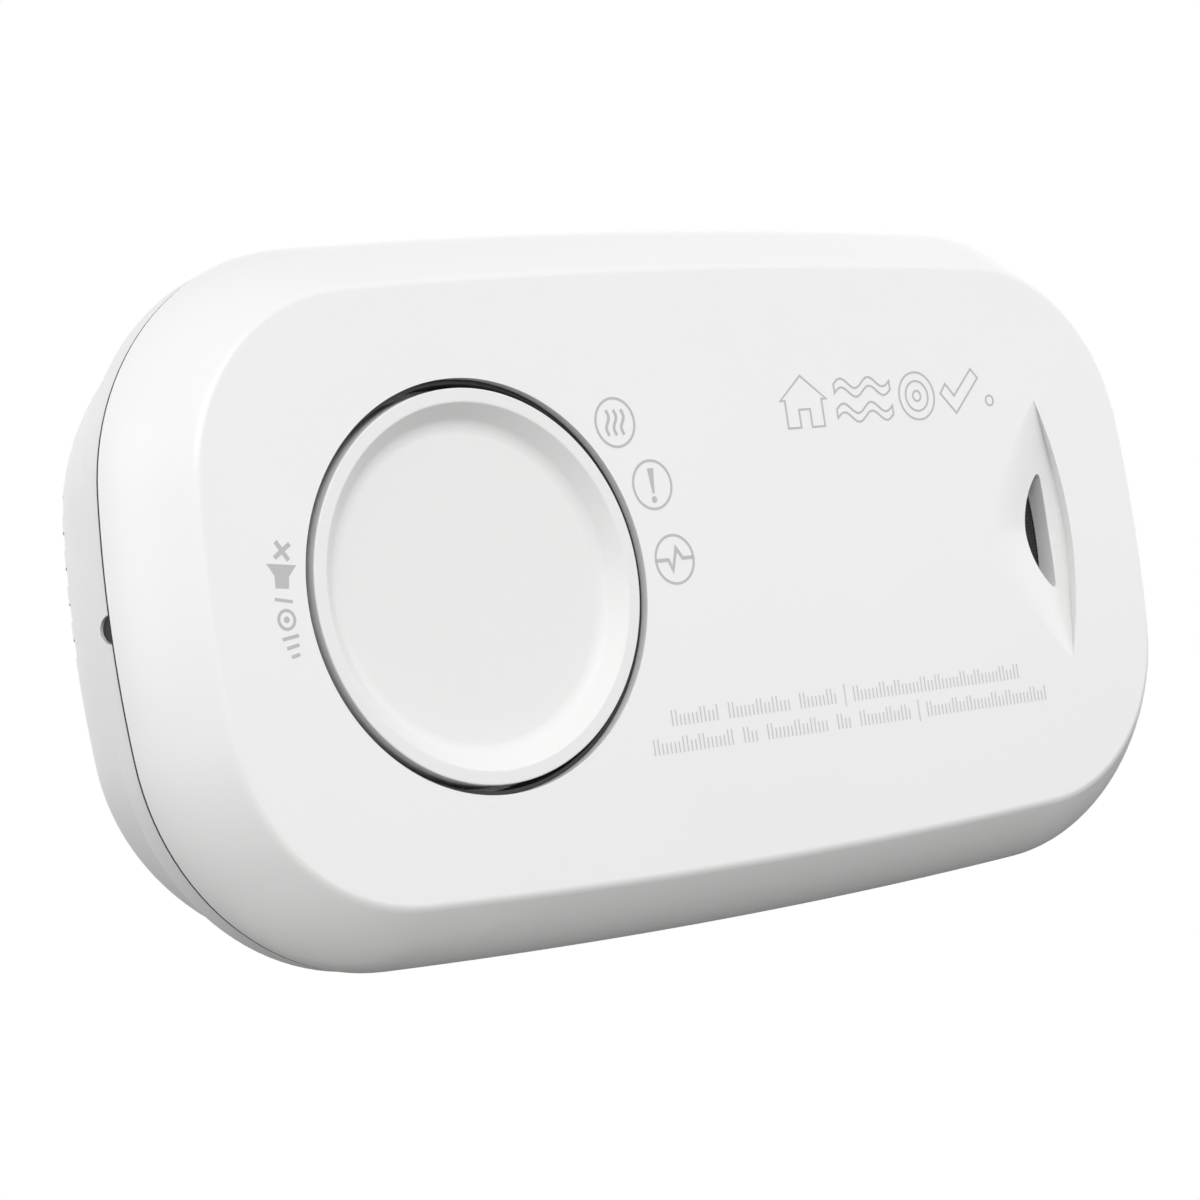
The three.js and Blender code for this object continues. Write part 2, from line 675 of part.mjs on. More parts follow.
const detector = new THREE.Group();
detector.name = "carbon_monoxide_detector";
detector.add(
  piece("wall_plate", wallPlate(), WHITE_MATT),
  piece("front_cover", frontCover(), WHITE),
  piece("rear_housing", rearHousing(), WHITE),
  piece("test_button", testButton(), WHITE_MATT),
  piece("return_spring", returnSpring(), STEEL),
  piece("switch_body", switchBody(), BLACK),
  piece("switch_plunger", switchPlunger(), BLACK),
  piece("circuit_board", circuitBoard(), BOARD_GREEN),
  piece("mcu_chip", mcuChip(), BLACK),
  piece("boost_coil", boostCoil(), BLACK),
  piece("capacitor_1", capacitor(-15), BLACK),
  piece("capacitor_2", capacitor(-4), BLACK),
  piece("pin_header", pinHeader(), BRASS),
  piece("light_shield", lightShield(), BLACK),
  piece("sounder_gasket", sounderGasket(), RUBBER),
  piece("sounder_diaphragm", sounderDiaphragm(), BRASS),
  piece("sounder_ceramic", sounderCeramic(), CERAMIC),
  piece("sounder_retainer", sounderRetainer(), BLACK),
  piece("sensor_can", sensorCan(), STEEL),
  piece("sensor_seal", sensorSeal(), RUBBER),
  piece("sensor_cap", sensorCap(), WHITE_MATT),
  piece("lithium_cell", lithiumCell(), SLEEVE),
  piece("cell_tab_positive", cellTab(CELL.x + CELL_END + 1.4), STEEL),
  piece("cell_tab_negative", cellTab(CELL.x - CELL_END - 0.4), STEEL),
);
for (const [i, place] of CASE_SCREWS.entries()) {
  detector.add(piece(`case_screw_${i + 1}`, screw(place, CASE_SCREW), STEEL));
}
for (const [i, place] of BOARD_SCREWS.entries()) {
  detector.add(piece(`board_screw_${i + 1}`, screw(place, BOARD_SCREW), STEEL));
}
for (const [i, angle] of LAMP_ANGLES.entries()) {
  const status = ["alarm", "fault", "power"][i];
  detector.add(piece(`lamp_${status}`, lamp(angle), CLEAR));
  detector.add(piece(`light_pipe_${status}`, lightPipe(angle), CLEAR));
}

export default detector;
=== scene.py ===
"""Looks of a wall-hung carbon monoxide detector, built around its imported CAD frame.

Lengths are in metres and places come from the frame. Depths run from the front face to the wall.
"""
import json
import math

import bmesh
import bpy
from mathutils import Matrix, Vector


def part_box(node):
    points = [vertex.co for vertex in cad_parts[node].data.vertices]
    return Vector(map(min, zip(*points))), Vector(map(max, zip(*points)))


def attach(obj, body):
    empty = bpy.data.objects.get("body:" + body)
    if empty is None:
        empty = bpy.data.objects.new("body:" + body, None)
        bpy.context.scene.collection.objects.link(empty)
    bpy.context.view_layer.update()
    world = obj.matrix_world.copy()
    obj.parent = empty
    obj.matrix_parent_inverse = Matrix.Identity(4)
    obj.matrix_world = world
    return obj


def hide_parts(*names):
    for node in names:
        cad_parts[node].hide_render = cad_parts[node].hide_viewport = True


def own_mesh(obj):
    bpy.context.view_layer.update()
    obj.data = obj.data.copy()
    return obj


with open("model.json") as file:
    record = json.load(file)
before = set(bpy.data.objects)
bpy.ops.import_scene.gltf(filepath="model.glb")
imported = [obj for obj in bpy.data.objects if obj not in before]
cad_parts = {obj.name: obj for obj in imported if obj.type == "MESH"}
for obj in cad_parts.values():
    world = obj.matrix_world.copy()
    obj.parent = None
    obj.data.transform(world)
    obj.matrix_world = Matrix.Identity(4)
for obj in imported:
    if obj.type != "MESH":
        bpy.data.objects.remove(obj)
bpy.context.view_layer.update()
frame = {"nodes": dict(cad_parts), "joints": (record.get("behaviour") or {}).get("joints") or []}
scene = bpy.context.scene

# ---- Front cover ----
# A white gloss ABS moulding with a flat face, a curved side band, a round button opening and a
# scooped sound slot. Four screws hold it from behind, with a fine shadow gap to the rear tray.

MM = 0.001
cover_low, cover_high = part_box("front_cover")
button_low, button_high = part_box("test_button")
sounder_low, sounder_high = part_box("sounder_diaphragm")

FACE_Y = cover_low.y
HALF_WIDTH = cover_high.x
HALF_HEIGHT = cover_high.z
END_RADIUS = 119 * MM
SIDE_RADIUS = 822 * MM
CORNER_RADIUS = 22.4 * MM
SHOULDER_INSET = 5 * MM
SHOULDER_POWER = 1.6
PARTING_DEPTH = 7.5 * MM
COVER_WALL = 2 * MM
BUTTON_PLACE = Vector(((button_low.x + button_high.x) / 2, 0, (button_low.z + button_high.z) / 2))
OPENING_RADIUS = 18.1 * MM
SCOOP_PLACE = Vector((10.25 * MM, 0, 0))
SCOOP_RADIUS = 35.35 * MM
SCOOP_DEPTH = 1.35 * MM


def corner_centre():
    """Centre of the corner arc, which touches the bowed side and the bowed end from inside."""
    side = Vector((0, HALF_HEIGHT - SIDE_RADIUS))
    end = Vector((HALF_WIDTH - END_RADIUS, 0))
    to_side = SIDE_RADIUS - CORNER_RADIUS
    to_end = END_RADIUS - CORNER_RADIUS
    across = end - side
    along = (to_side**2 - to_end**2 + across.length_squared) / (2 * across.length)
    unit = across.normalized()
    height = math.sqrt(to_side**2 - along**2)
    return side + unit * along + Vector((unit.y, -unit.x)) * height


def arc(centre, radius, start, end, steps):
    """Points along an arc, each with its outward direction; the last point is left to the next arc."""
    points = []
    for i in range(steps):
        angle = start + (end - start) * i / steps
        out = Vector((math.cos(angle), math.sin(angle)))
        points.append((centre + out * radius, out))
    return points


def case_outline():
    """The bowed rounded rectangle that the cover, tray, board and wall plate share."""
    side = Vector((0, HALF_HEIGHT - SIDE_RADIUS))
    end = Vector((HALF_WIDTH - END_RADIUS, 0))
    corner = corner_centre()
    end_turn = math.atan2(*(corner - end).yx)
    side_turn = math.atan2(*(corner - side).yx)
    quarter = arc(end, END_RADIUS, 0, end_turn, 8)
    quarter += arc(corner, CORNER_RADIUS, end_turn, side_turn, 26)
    quarter += arc(side, SIDE_RADIUS, side_turn, math.pi / 2, 12)
    top = (Vector((0, HALF_HEIGHT)), Vector((0, 1)))

    def flipped(points, sx, sz):
        flip = Matrix.Diagonal((sx, sz))
        return [(flip @ point, flip @ out) for point, out in points]

    upper = quarter + [top] + flipped(quarter[::-1], -1, 1)
    return upper + flipped(upper[1:-1][::-1], 1, -1)


OUTLINE = case_outline()


def ring(bm, inset, depth):
    """One ring of the case outline, moved in by inset, at a depth behind the face."""
    y = FACE_Y + depth
    return [bm.verts.new((p.x - inset * n.x, y, p.y - inset * n.y)) for p, n in OUTLINE]


def skin(bm, rings, closed=True):
    """Quads from each ring to the next; closed adds a flat end to the first and the last ring."""
    for a, b in zip(rings, rings[1:]):
        for i in range(len(a)):
            j = (i + 1) % len(a)
            bm.faces.new((a[i], b[i], b[j], a[j]))
    if closed:
        bm.faces.new(rings[0])
        bm.faces.new(rings[-1][::-1])


def bend(start, corner, end, steps):
    """A soft corner from start to end, as points of a quadratic curve."""
    points = []
    for i in range(steps + 1):
        t = i / steps
        a = (1 - t) ** 2
        b = 2 * t * (1 - t)
        points.append(tuple(a * s + b * c + t * t * e for s, c, e in zip(start, corner, end)))
    return points


def shoulder(inset, front, back, start, steps):
    """The curved side band, from a share start of its depth to its back edge."""
    points = []
    for i in range(steps + 1):
        t = start + (1 - start) * i / steps
        points.append((inset * (1 - t) ** SHOULDER_POWER, front + (back - front) * t))
    return points


def solid_object(name, bm):
    """A mesh object from bm, with its faces turned outwards."""
    bmesh.ops.remove_doubles(bm, verts=bm.verts, dist=1e-7)
    bmesh.ops.recalc_face_normals(bm, faces=bm.faces)
    mesh = bpy.data.meshes.new(name)
    bm.to_mesh(mesh)
    bm.free()
    piece = bpy.data.objects.new(name, mesh)
    scene.collection.objects.link(piece)
    return piece


def turned(name, place, profile, steps=96):
    """A solid turned about Y: profile is a list of (radius, depth), which starts and ends on the axis."""
    bm = bmesh.new()
    rings = []
    for radius, depth in profile[1:-1]:
        turn = [2 * math.pi * i / steps for i in range(steps)]
        y = FACE_Y + depth
        spots = [(place.x + radius * math.cos(a), y, place.z + radius * math.sin(a)) for a in turn]
        rings.append([bm.verts.new(spot) for spot in spots])
    skin(bm, rings)
    return solid_object(name, bm)


def bar(place, radius, front, back, steps=48):
    """A plain round bar along Y, used to add or cut round features."""
    return turned("bar", place, [(0, front), (radius, front), (radius, back), (0, back)], steps)


def block(low, high):
    """A plain block between two (x, depth, z) corners, used to add or cut square features."""
    bm = bmesh.new()
    bmesh.ops.create_cube(bm, size=1)
    for v in bm.verts:
        share = v.co + Vector((0.5, 0.5, 0.5))
        spot = [a + (b - a) * s for a, b, s in zip(low, high, share)]
        v.co = (spot[0], FACE_Y + spot[1], spot[2])
    return solid_object("block", bm)


def merge(pieces):
    """Joins objects into the first one, without welding them."""
    bm = bmesh.new()
    for piece in pieces:
        bm.from_mesh(piece.data)
    bm.to_mesh(pieces[0].data)
    bm.free()
    for piece in pieces[1:]:
        bpy.data.objects.remove(piece)
    return pieces[0]


def carve(piece, tool, operation="DIFFERENCE"):
    """Cuts, adds or intersects piece with tool, and removes tool."""
    modifier = piece.modifiers.new("carve", "BOOLEAN")
    modifier.operation = operation
    modifier.solver = "EXACT"
    modifier.object = tool
    bake(piece)
    bpy.data.objects.remove(tool)
    return piece


def bake(piece):
    """Applies the piece's modifiers."""
    graph = bpy.context.evaluated_depsgraph_get()
    mesh = bpy.data.meshes.new_from_object(piece.evaluated_get(graph))
    piece.modifiers.clear()
    piece.data = mesh
    return piece


def soften(piece, width, segments=3, angle=40):
    """Rounds the piece's sharp edges, then shades it smooth with the flat faces kept flat."""
    modifier = piece.modifiers.new("round", "BEVEL")
    modifier.width = width
    modifier.segments = segments
    modifier.limit_method = "ANGLE"
    modifier.angle_limit = math.radians(angle)
    modifier.miter_outer = "MITER_ARC"
    bake(piece)
    return shade(piece)


def flat_regions(bm):
    """The area of the flat region that each face belongs to, however many faces it is split into."""
    region_area = {}
    for seed in bm.faces:
        if seed in region_area:
            continue
        region = {seed}
        edge_of_region = [seed]
        while edge_of_region:
            face = edge_of_region.pop()
            for edge in face.edges:
                for other in edge.link_faces:
                    if other not in region and other.normal.dot(face.normal) > 0.9999995:
                        region.add(other)
                        edge_of_region.append(other)
        area = sum(face.calc_area() for face in region)
        for face in region:
            region_area[face] = area
    return region_area


CRISP_ANGLE = math.radians(38)


def shade(piece):
    """Smooth shading in which flat regions stay flat, and crisp at edges sharper than CRISP_ANGLE."""
    bm = bmesh.new()
    bm.from_mesh(piece.data)
    bmesh.ops.recalc_face_normals(bm, faces=bm.faces)
    region_area = flat_regions(bm)
    sharp = math.cos(CRISP_ANGLE)
    normals = []
    for face in bm.faces:
        face.smooth = True
        for corner in face.loops:
            total = Vector()
            for other in corner.vert.link_faces:
                if other.normal.dot(face.normal) > sharp:
                    total += other.normal * region_area[other]
            normals.append(total.normalized() if total.length else face.normal.copy())
    bm.to_mesh(piece.data)
    bm.free()
    piece.data.normals_split_custom_set(normals)
    return piece


def cover_shell():
    """The bowed face with a crisp crease to its curved side band, and the same shape inside."""
    crease_end = 0.05
    after = (SHOULDER_INSET * (1 - crease_end) ** SHOULDER_POWER, PARTING_DEPTH * crease_end)
    outside = bend((SHOULDER_INSET + 0.4 * MM, 0), (SHOULDER_INSET, 0), after, 6)
    outside += shoulder(SHOULDER_INSET, 0, PARTING_DEPTH, crease_end, 20)[1:-1]
    edge = 0.12 * MM
    outside += bend((0, PARTING_DEPTH - edge), (0, PARTING_DEPTH), (edge, PARTING_DEPTH), 4)
    inside = shoulder(SHOULDER_INSET + 0.4 * MM, COVER_WALL, PARTING_DEPTH, 0, 10)
    inside = [(inset + COVER_WALL, depth) for inset, depth in inside]
    bm = bmesh.new()
    skin(bm, [ring(bm, *spot) for spot in outside + inside[::-1]])
    return solid_object("front_cover_shell", bm)


def scoop_tool():
    """The leaf-shaped hollow beside the sound slot, deepest along its arc wall."""
    bm = bmesh.new()
    pole = Vector((SCOOP_PLACE.x + SCOOP_RADIUS, 0))
    reach = Vector((11.5 * MM, 15.6 * MM))
    turn = [2 * math.pi * (i + 0.5) / 144 for i in range(144)]
    leaf = [Vector((math.copysign(1 - abs(math.sin(a)) ** 1.5, math.cos(a)), math.sin(a))) for a in turn]
    rings = []
    for k in range(1, 33):
        share = k / 32
        lift = max(0, share - 0.97) * 2 * MM
        spots = []
        for p, a in zip(leaf, turn):
            fade = 0.85 + 1.75 * math.cos(a) ** 2
            swell = 2.2 + 1.2 * math.sin(a) ** 8
            depth = SCOOP_DEPTH * ((1 - share**swell) ** fade * 1.005 - 0.005) - lift
            spots.append((pole.x + reach.x * share * p.x, FACE_Y + depth, reach.y * share * p.y))
        rings.append([bm.verts.new(spot) for spot in spots])
    lid = [bm.verts.new((v.co.x, FACE_Y - 2 * MM, v.co.z)) for v in rings[-1]]
    skin(bm, rings + [lid])
    hollow = solid_object("scoop_tool", bm)
    undercut = 0.4
    front = SCOOP_RADIUS - 3 * MM * undercut
    back = SCOOP_RADIUS + 3 * MM * undercut
    profile = [(0, -3 * MM), (front, -3 * MM), (back, 3 * MM), (0, 3 * MM)]
    wall = turned("scoop_wall", SCOOP_PLACE, profile, 360)
    return carve(hollow, wall, "INTERSECT")


def slot_tool():
    """The lens-shaped slot: a bulging left edge, a right edge along the arc wall and rounded tips."""
    bulge = Vector((47.3 * MM, 0))
    bulge_radius = 7.3 * MM
    wall = Vector((SCOOP_PLACE.x, 0))
    wall_radius = 33.5 * MM
    tip_radius = 0.5 * MM
    across = bulge.x - wall.x
    to_wall = wall_radius - tip_radius
    to_bulge = bulge_radius - tip_radius
    reach = (to_wall**2 - to_bulge**2 + across**2) / (2 * across)
    tip = Vector((wall.x + reach, math.sqrt(to_wall**2 - reach**2)))
    wall_turn = math.atan2(tip.y, tip.x - wall.x)
    bulge_turn = math.atan2(tip.y, tip.x - bulge.x)
    loop = arc(wall, wall_radius, -wall_turn, wall_turn, 24)
    loop += arc(tip, tip_radius, wall_turn, bulge_turn, 10)
    loop += arc(bulge, bulge_radius, bulge_turn, 2 * math.pi - bulge_turn, 36)
    loop += arc(Vector((tip.x, -tip.y)), tip_radius, -bulge_turn, -wall_turn, 10)
    bm = bmesh.new()
    ends = [[bm.verts.new((p.x, FACE_Y + depth, p.y)) for p, _ in loop] for depth in (-1 * MM, 6 * MM)]
    skin(bm, ends)
    return solid_object("slot_tool", bm)


def screw_places(prefix):
    """The middles of the frame's screws whose names start with prefix."""
    names = sorted(name for name in frame["nodes"] if name.startswith(prefix))
    boxes = [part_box(name) for name in names]
    return {name: (low + high) / 2 for name, (low, high) in zip(names, boxes)}


def front_cover():
    cover = cover_shell()
    place = (sounder_low + sounder_high) / 2
    rib = carve(bar(place, 16.2 * MM, 1.5 * MM, 7.6 * MM, 96), bar(place, 14.7 * MM, 0, 9 * MM, 96))
    collar = bar(BUTTON_PLACE, OPENING_RADIUS + 1.5 * MM, 1.5 * MM, 4.2 * MM, 128)
    pad = block((35 * MM, 1.5 * MM, -13 * MM), (47.5 * MM, 3.1 * MM, 13 * MM))
    for part in (rib, collar, pad):
        carve(cover, part, "UNION")
    for spot in screw_places("case_screw").values():
        carve(cover, bar(spot, 3.1 * MM, 1.5 * MM, 21.5 * MM), "UNION")
        carve(cover, bar(spot, 1.55 * MM, 9 * MM, 22.5 * MM))
    for spot in screw_places("board_screw").values():
        carve(cover, bar(spot, 2.6 * MM, 1.5 * MM, 10.7 * MM), "UNION")
        carve(cover, bar(spot, 1.25 * MM, 4 * MM, 12 * MM))
    carve(cover, bar(BUTTON_PLACE, OPENING_RADIUS, -1 * MM, 6 * MM, 192))
    carve(cover, scoop_tool())
    carve(cover, slot_tool())
    return soften(cover, 0.18 * MM, 3, 50)


def node_group(name, inputs, outputs):
    """An empty shader node group: inputs and outputs are lists of (socket name, socket type, default)."""
    group = bpy.data.node_groups.new(name, "ShaderNodeTree")
    for way, sockets in (("INPUT", inputs), ("OUTPUT", outputs)):
        for socket_name, kind, default in sockets:
            socket = group.interface.new_socket(socket_name, in_out=way, socket_type="NodeSocket" + kind)
            if default is not None:
                socket.default_value = default
    return group


def add_node(tree, kind, **inputs):
    """A shader node whose sockets are set from values, or linked from other nodes' outputs."""
    node = tree.nodes.new("ShaderNode" + kind)
    for name, value in inputs.items():
        key = name.replace("_", " ") if not name.startswith("n") or not name[1:].isdigit() else int(name[1:])
        socket = node.inputs[key]
        if isinstance(value, bpy.types.NodeSocket):
            tree.links.new(value, socket)
        else:
            socket.default_value = value
    return node


def sum_of(tree, kind, a, b):
    """A Math node: kind is its operation."""
    node = add_node(tree, "Math", n0=a, n1=b)
    node.operation = kind
    return node.outputs[0]


def moulded_surface_group():
    """Colour, roughness and height of a moulded plastic: flow clouds, grain and handling marks."""
    inputs = [
        ("Colour", "Color", (0.8, 0.8, 0.8, 1)),
        ("Cloud Tint", "Color", (0.75, 0.75, 0.74, 1)),
        ("Roughness", "Float", 0.3),
        ("Grain Size", "Float", 0.0004),
        ("Grain Height", "Float", 0.2),
        ("Ripple Height", "Float", 0.2),
    ]
    outputs = [("Colour", "Color", None), ("Roughness", "Float", None), ("Height", "Float", None)]
    group = node_group("moulded_surface", inputs, outputs)
    start = group.nodes.new("NodeGroupInput").outputs
    end = group.nodes.new("NodeGroupOutput").inputs
    spot = group.nodes.new("ShaderNodeTexCoord").outputs["Object"]
    clouds = add_node(group, "TexNoise", Vector=spot, Scale=45, Detail=3, Roughness=0.5)
    tint = add_node(group, "Mix", n6=start["Colour"], n7=start["Cloud Tint"])
    tint.data_type = "RGBA"
    group.links.new(clouds.outputs[0], tint.inputs[0])
    group.links.new(tint.outputs[2], end["Colour"])
    marks = add_node(group, "TexNoise", Vector=spot, Scale=160, Detail=6, Roughness=0.6)
    spread = add_node(group, "MapRange", Value=marks.outputs[0], From_Min=0.3, From_Max=0.7, To_Min=-0.03)
    spread.inputs["To Max"].default_value = 0.03
    rough = sum_of(group, "ADD", start["Roughness"], spread.outputs[0])
    group.links.new(rough, end["Roughness"])
    density = sum_of(group, "DIVIDE", 1.0, start["Grain Size"])
    grain = add_node(group, "TexNoise", Vector=spot, Scale=density, Detail=2, Roughness=0.55)
    ripple = add_node(group, "TexNoise", Vector=spot, Scale=260, Detail=1, Roughness=0.4)
    low = sum_of(group, "MULTIPLY", ripple.outputs[0], start["Ripple Height"])
    high = sum_of(group, "MULTIPLY", grain.outputs[0], start["Grain Height"])
    group.links.new(sum_of(group, "ADD", low, high), end["Height"])
    return group


MOULDED_SURFACE = moulded_surface_group()
MICRON = 1e-6


def new_material(name):
    """A material with a bare Principled shader; returns the material, its tree and the shader."""
    material = bpy.data.materials.new(name)
    material.use_nodes = True
    tree = material.node_tree
    return material, tree, tree.nodes["Principled BSDF"]


def face_shader(tree, shader, colour, roughness, height, distance, strength=1.0):
    """Feeds a shader its colour, its roughness and a bump made from height."""
    bump = add_node(tree, "Bump", Height=height, Strength=strength, Distance=distance)
    tree.links.new(colour, shader.inputs["Base Color"])
    tree.links.new(roughness, shader.inputs["Roughness"])
    tree.links.new(bump.outputs[0], shader.inputs["Normal"])


def place_surface(tree, shader, group, distance, **values):
    """Places a shared surface group with its own values, and feeds the shader from it."""
    surface = tree.nodes.new("ShaderNodeGroup")
    surface.node_tree = group
    for name, value in values.items():
        surface.inputs[name.replace("_", " ")].default_value = value
    colour, roughness, height = [surface.outputs[name] for name in ("Colour", "Roughness", "Height")]
    face_shader(tree, shader, colour, roughness, height, distance)


def moulded_plastic(name, colour, tint, roughness, grain_size, grain_height, ripple_height, coat=0.0):
    """Moulded plastic with the shared surface group, a bump and, where it is polished, a thin coat."""
    material, tree, shader = new_material(name)
    look = {"Colour": (*colour, 1), "Cloud_Tint": (*tint, 1), "Roughness": roughness}
    relief = {"Grain_Size": grain_size, "Grain_Height": grain_height, "Ripple_Height": ripple_height}
    place_surface(tree, shader, MOULDED_SURFACE, 10 * MICRON, **look, **relief)
    shader.inputs["IOR"].default_value = 1.5
    shader.inputs["Coat Weight"].default_value = coat
    shader.inputs["Coat Roughness"].default_value = 0.08
    return material


GLOSS_WHITE = moulded_plastic(
    "gloss_white_abs", (0.86, 0.86, 0.855), (0.84, 0.84, 0.835), 0.34, 0.25 * MM, 0.1, 0.25, coat=0.25
)


def dress(piece, material, body, slot, *nodes):
    """Gives a finished piece its material and body, and hides the CAD nodes that it stands for; slot is not
    used.
    """
    piece.data.materials.clear()
    piece.data.materials.append(material)
    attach(piece, body)
    if nodes:
        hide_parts(*nodes)
    return piece


cover = front_cover()
cover.name = "cover_moulding"
dress(cover, GLOSS_WHITE, "alarm", "white_gloss", "front_cover")

# ---- Test button ----
# A round matt ABS cap with a raised, rounded rim and a shallow dish for the finger. It slides in the
# cover's collar and a flange at its foot keeps it in.

BUTTON_RADIUS = 17.25 * MM
FLANGE_RADIUS = 19.2 * MM


def test_button():
    """Rim, dish and skirt as one turned profile, with a spring seat and a stem under the cap."""
    dish = bend((13.5 * MM, 1.68 * MM), (14.4 * MM, 1.62 * MM), (14.8 * MM, 1.2 * MM), 8)
    rim = bend((15.92 * MM, 0.09 * MM), (16 * MM, 0), (16.12 * MM, 0), 4)
    edge = bend((BUTTON_RADIUS - 0.15 * MM, 0), (BUTTON_RADIUS, 0), (BUTTON_RADIUS, 0.15 * MM), 4)
    floor = [(r * MM, (1.72 - 0.04 * (r / 13.4) ** 2) * MM) for r in (3, 6, 9, 11.5)]
    skirt = [
        (BUTTON_RADIUS, 4.6 * MM),
        (FLANGE_RADIUS, 4.6 * MM),
        (FLANGE_RADIUS, 5.8 * MM),
        (15.9 * MM, 5.8 * MM),
        (15.9 * MM, 3.2 * MM),
        (5.8 * MM, 3.2 * MM),
        (5.8 * MM, 4.6 * MM),
        (4.8 * MM, 4.6 * MM),
        (4.8 * MM, 3.2 * MM),
        (2.4 * MM, 3.2 * MM),
        (2.4 * MM, 5.7 * MM),
    ]
    profile = [(0, 1.72 * MM)] + floor + dish + rim + edge + skirt + [(0, 5.7 * MM)]
    return turned("test_button_cap", BUTTON_PLACE, profile, 192)


MATT_WHITE = moulded_plastic(
    "spark_eroded_white_abs", (0.84, 0.84, 0.835), (0.82, 0.82, 0.815), 0.46, 0.22 * MM, 1.2, 0.2
)
button = shade(test_button())
dress(button, MATT_WHITE, "button", "white_matt", "test_button")

# ---- Button gap ring (painted shade) ----
# A black nylon ring pressed into the cover's collar. The button slides in it, and its black paints
# the shade in the gap round the button.


def ring_band(name, place, inner, outer, front, back):
    """A turned ring of rectangular section with softened edges."""
    whole = bar(place, outer, front, back, 160)
    band = carve(whole, bar(place, inner, front - 1 * MM, back + 1 * MM, 160))
    band.name = name
    return soften(band, 0.06 * MM, 2, 50)


BLACK_NYLON = moulded_plastic(
    "black_nylon", (0.018, 0.018, 0.019), (0.03, 0.03, 0.031), 0.48, 0.15 * MM, 1.5, 0.4
)
# Painted shade: the black ring stands in for the shade in the gap round the button.
gap_shade_ring = ring_band("button_gap_shade_ring", BUTTON_PLACE, 17.7 * MM, 18.05 * MM, 0.8 * MM, 4.2 * MM)
dress(gap_shade_ring, BLACK_NYLON, "alarm", "black_plastic")

# ---- Sound mesh (painted shade) ----
# A disc of black woven polyester glued behind the sound slot, inside the cover's round rib. It paints
# the shade seen through the slot black.

mesh_place = (sounder_low + sounder_high) / 2
# Painted shade: a black disc that stands in for the shade seen through the sound slot.
sound_mesh = bar(mesh_place, 14.5 * MM, 3.2 * MM, 3.42 * MM, 128)
sound_mesh.name = "sound_mesh"
soften(sound_mesh, 0.05 * MM, 2, 50)


def woven_mesh():
    """Fine black threads crossing at right angles; the open pores between them are painted darker, as the
    shade seen through them.
    """
    material, tree, shader = new_material("black_woven_mesh")
    spot = tree.nodes.new("ShaderNodeTexCoord").outputs["Object"]
    crossing = []
    for direction in ("X", "Z"):
        thread = add_node(tree, "TexWave", Vector=spot, Scale=900, Distortion=0.3, Detail=1)
        thread.bands_direction = direction
        crossing.append(thread.outputs["Fac"])
    weave = sum_of(tree, "MAXIMUM", *crossing)
    # Painted shade: the pores get the darker colour, for the shade seen through them.
    colour = add_node(tree, "Mix", n0=weave, n6=(0.004, 0.004, 0.004, 1), n7=(0.03, 0.03, 0.032, 1))
    colour.data_type = "RGBA"
    rough = add_node(tree, "MapRange", Value=weave, To_Min=0.9, To_Max=0.6)
    face_shader(tree, shader, colour.outputs[2], rough.outputs[0], weave, 0.05 * MM)
    return material


BLACK_MESH = woven_mesh()
dress(sound_mesh, BLACK_MESH, "alarm", "black_plastic")

# ---- Printed marks ----
# Pale grey pad-printed ink on the cover: three ringed lamp symbols, the test and mute signs beside
# the button, a row of plain outline pictograms and two lines of fine ticks where text would stand.

INK_FRONT = -0.02 * MM
INK_BACK = 0.06 * MM
INK_LINE = 0.24 * MM


def ink_prism(bm, loop):
    """One raised patch of ink: a loop of (x, z) points on the cover's face."""
    front = [bm.verts.new((p.x, FACE_Y + INK_FRONT, p.y)) for p in loop]
    back = [bm.verts.new((p.x, FACE_Y + INK_BACK, p.y)) for p in loop]
    skin(bm, [front, back])


def ink_line(bm, path, width=INK_LINE, closed=False):
    """A raised line of ink of even width, with mitred corners, along (x, z) points."""
    count = len(path)
    sides = ([], [])
    for i, spot in enumerate(path):
        before = path[i - 1] if closed or i else None
        after = path[(i + 1) % count] if closed or i + 1 < count else None
        into = (spot - before).normalized() if before else (after - spot).normalized()
        out = (after - spot).normalized() if after else into
        along = (into + out).normalized()
        reach = width / 2 / max(0.45, along.dot(into))
        across = Vector((-along.y, along.x)) * reach
        for side, edge in zip(sides, (spot + across, spot - across)):
            side.append(edge)
    depths = (FACE_Y + INK_FRONT, FACE_Y + INK_BACK)
    corners = []
    for left, right in zip(*sides):
        a, b = [[bm.verts.new((edge.x, y, edge.y)) for y in depths] for edge in (left, right)]
        corners.append((a[0], b[0], b[1], a[1]))
    steps = range(count if closed else count - 1)
    for i in steps:
        here, there = corners[i], corners[(i + 1) % count]
        for k in range(4):
            bm.faces.new((here[k], here[(k + 1) % 4], there[(k + 1) % 4], there[k]))
    if not closed:
        bm.faces.new(corners[0])
        bm.faces.new(corners[-1][::-1])


def circle_path(place, radius, steps=48):
    turn = [2 * math.pi * i / steps for i in range(steps)]
    return [place + Vector((radius * math.cos(a), radius * math.sin(a))) for a in turn]


def path_at(place, points, turn=0.0):
    """Points in millimetres, turned and moved to a place on the face."""
    lay = Matrix.Rotation(turn, 2)
    return [place + lay @ Vector(point) * MM for point in points]


def lamp_place(status):
    low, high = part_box("light_pipe_" + status)
    return Vector(((low.x + high.x) / 2, (low.z + high.z) / 2))


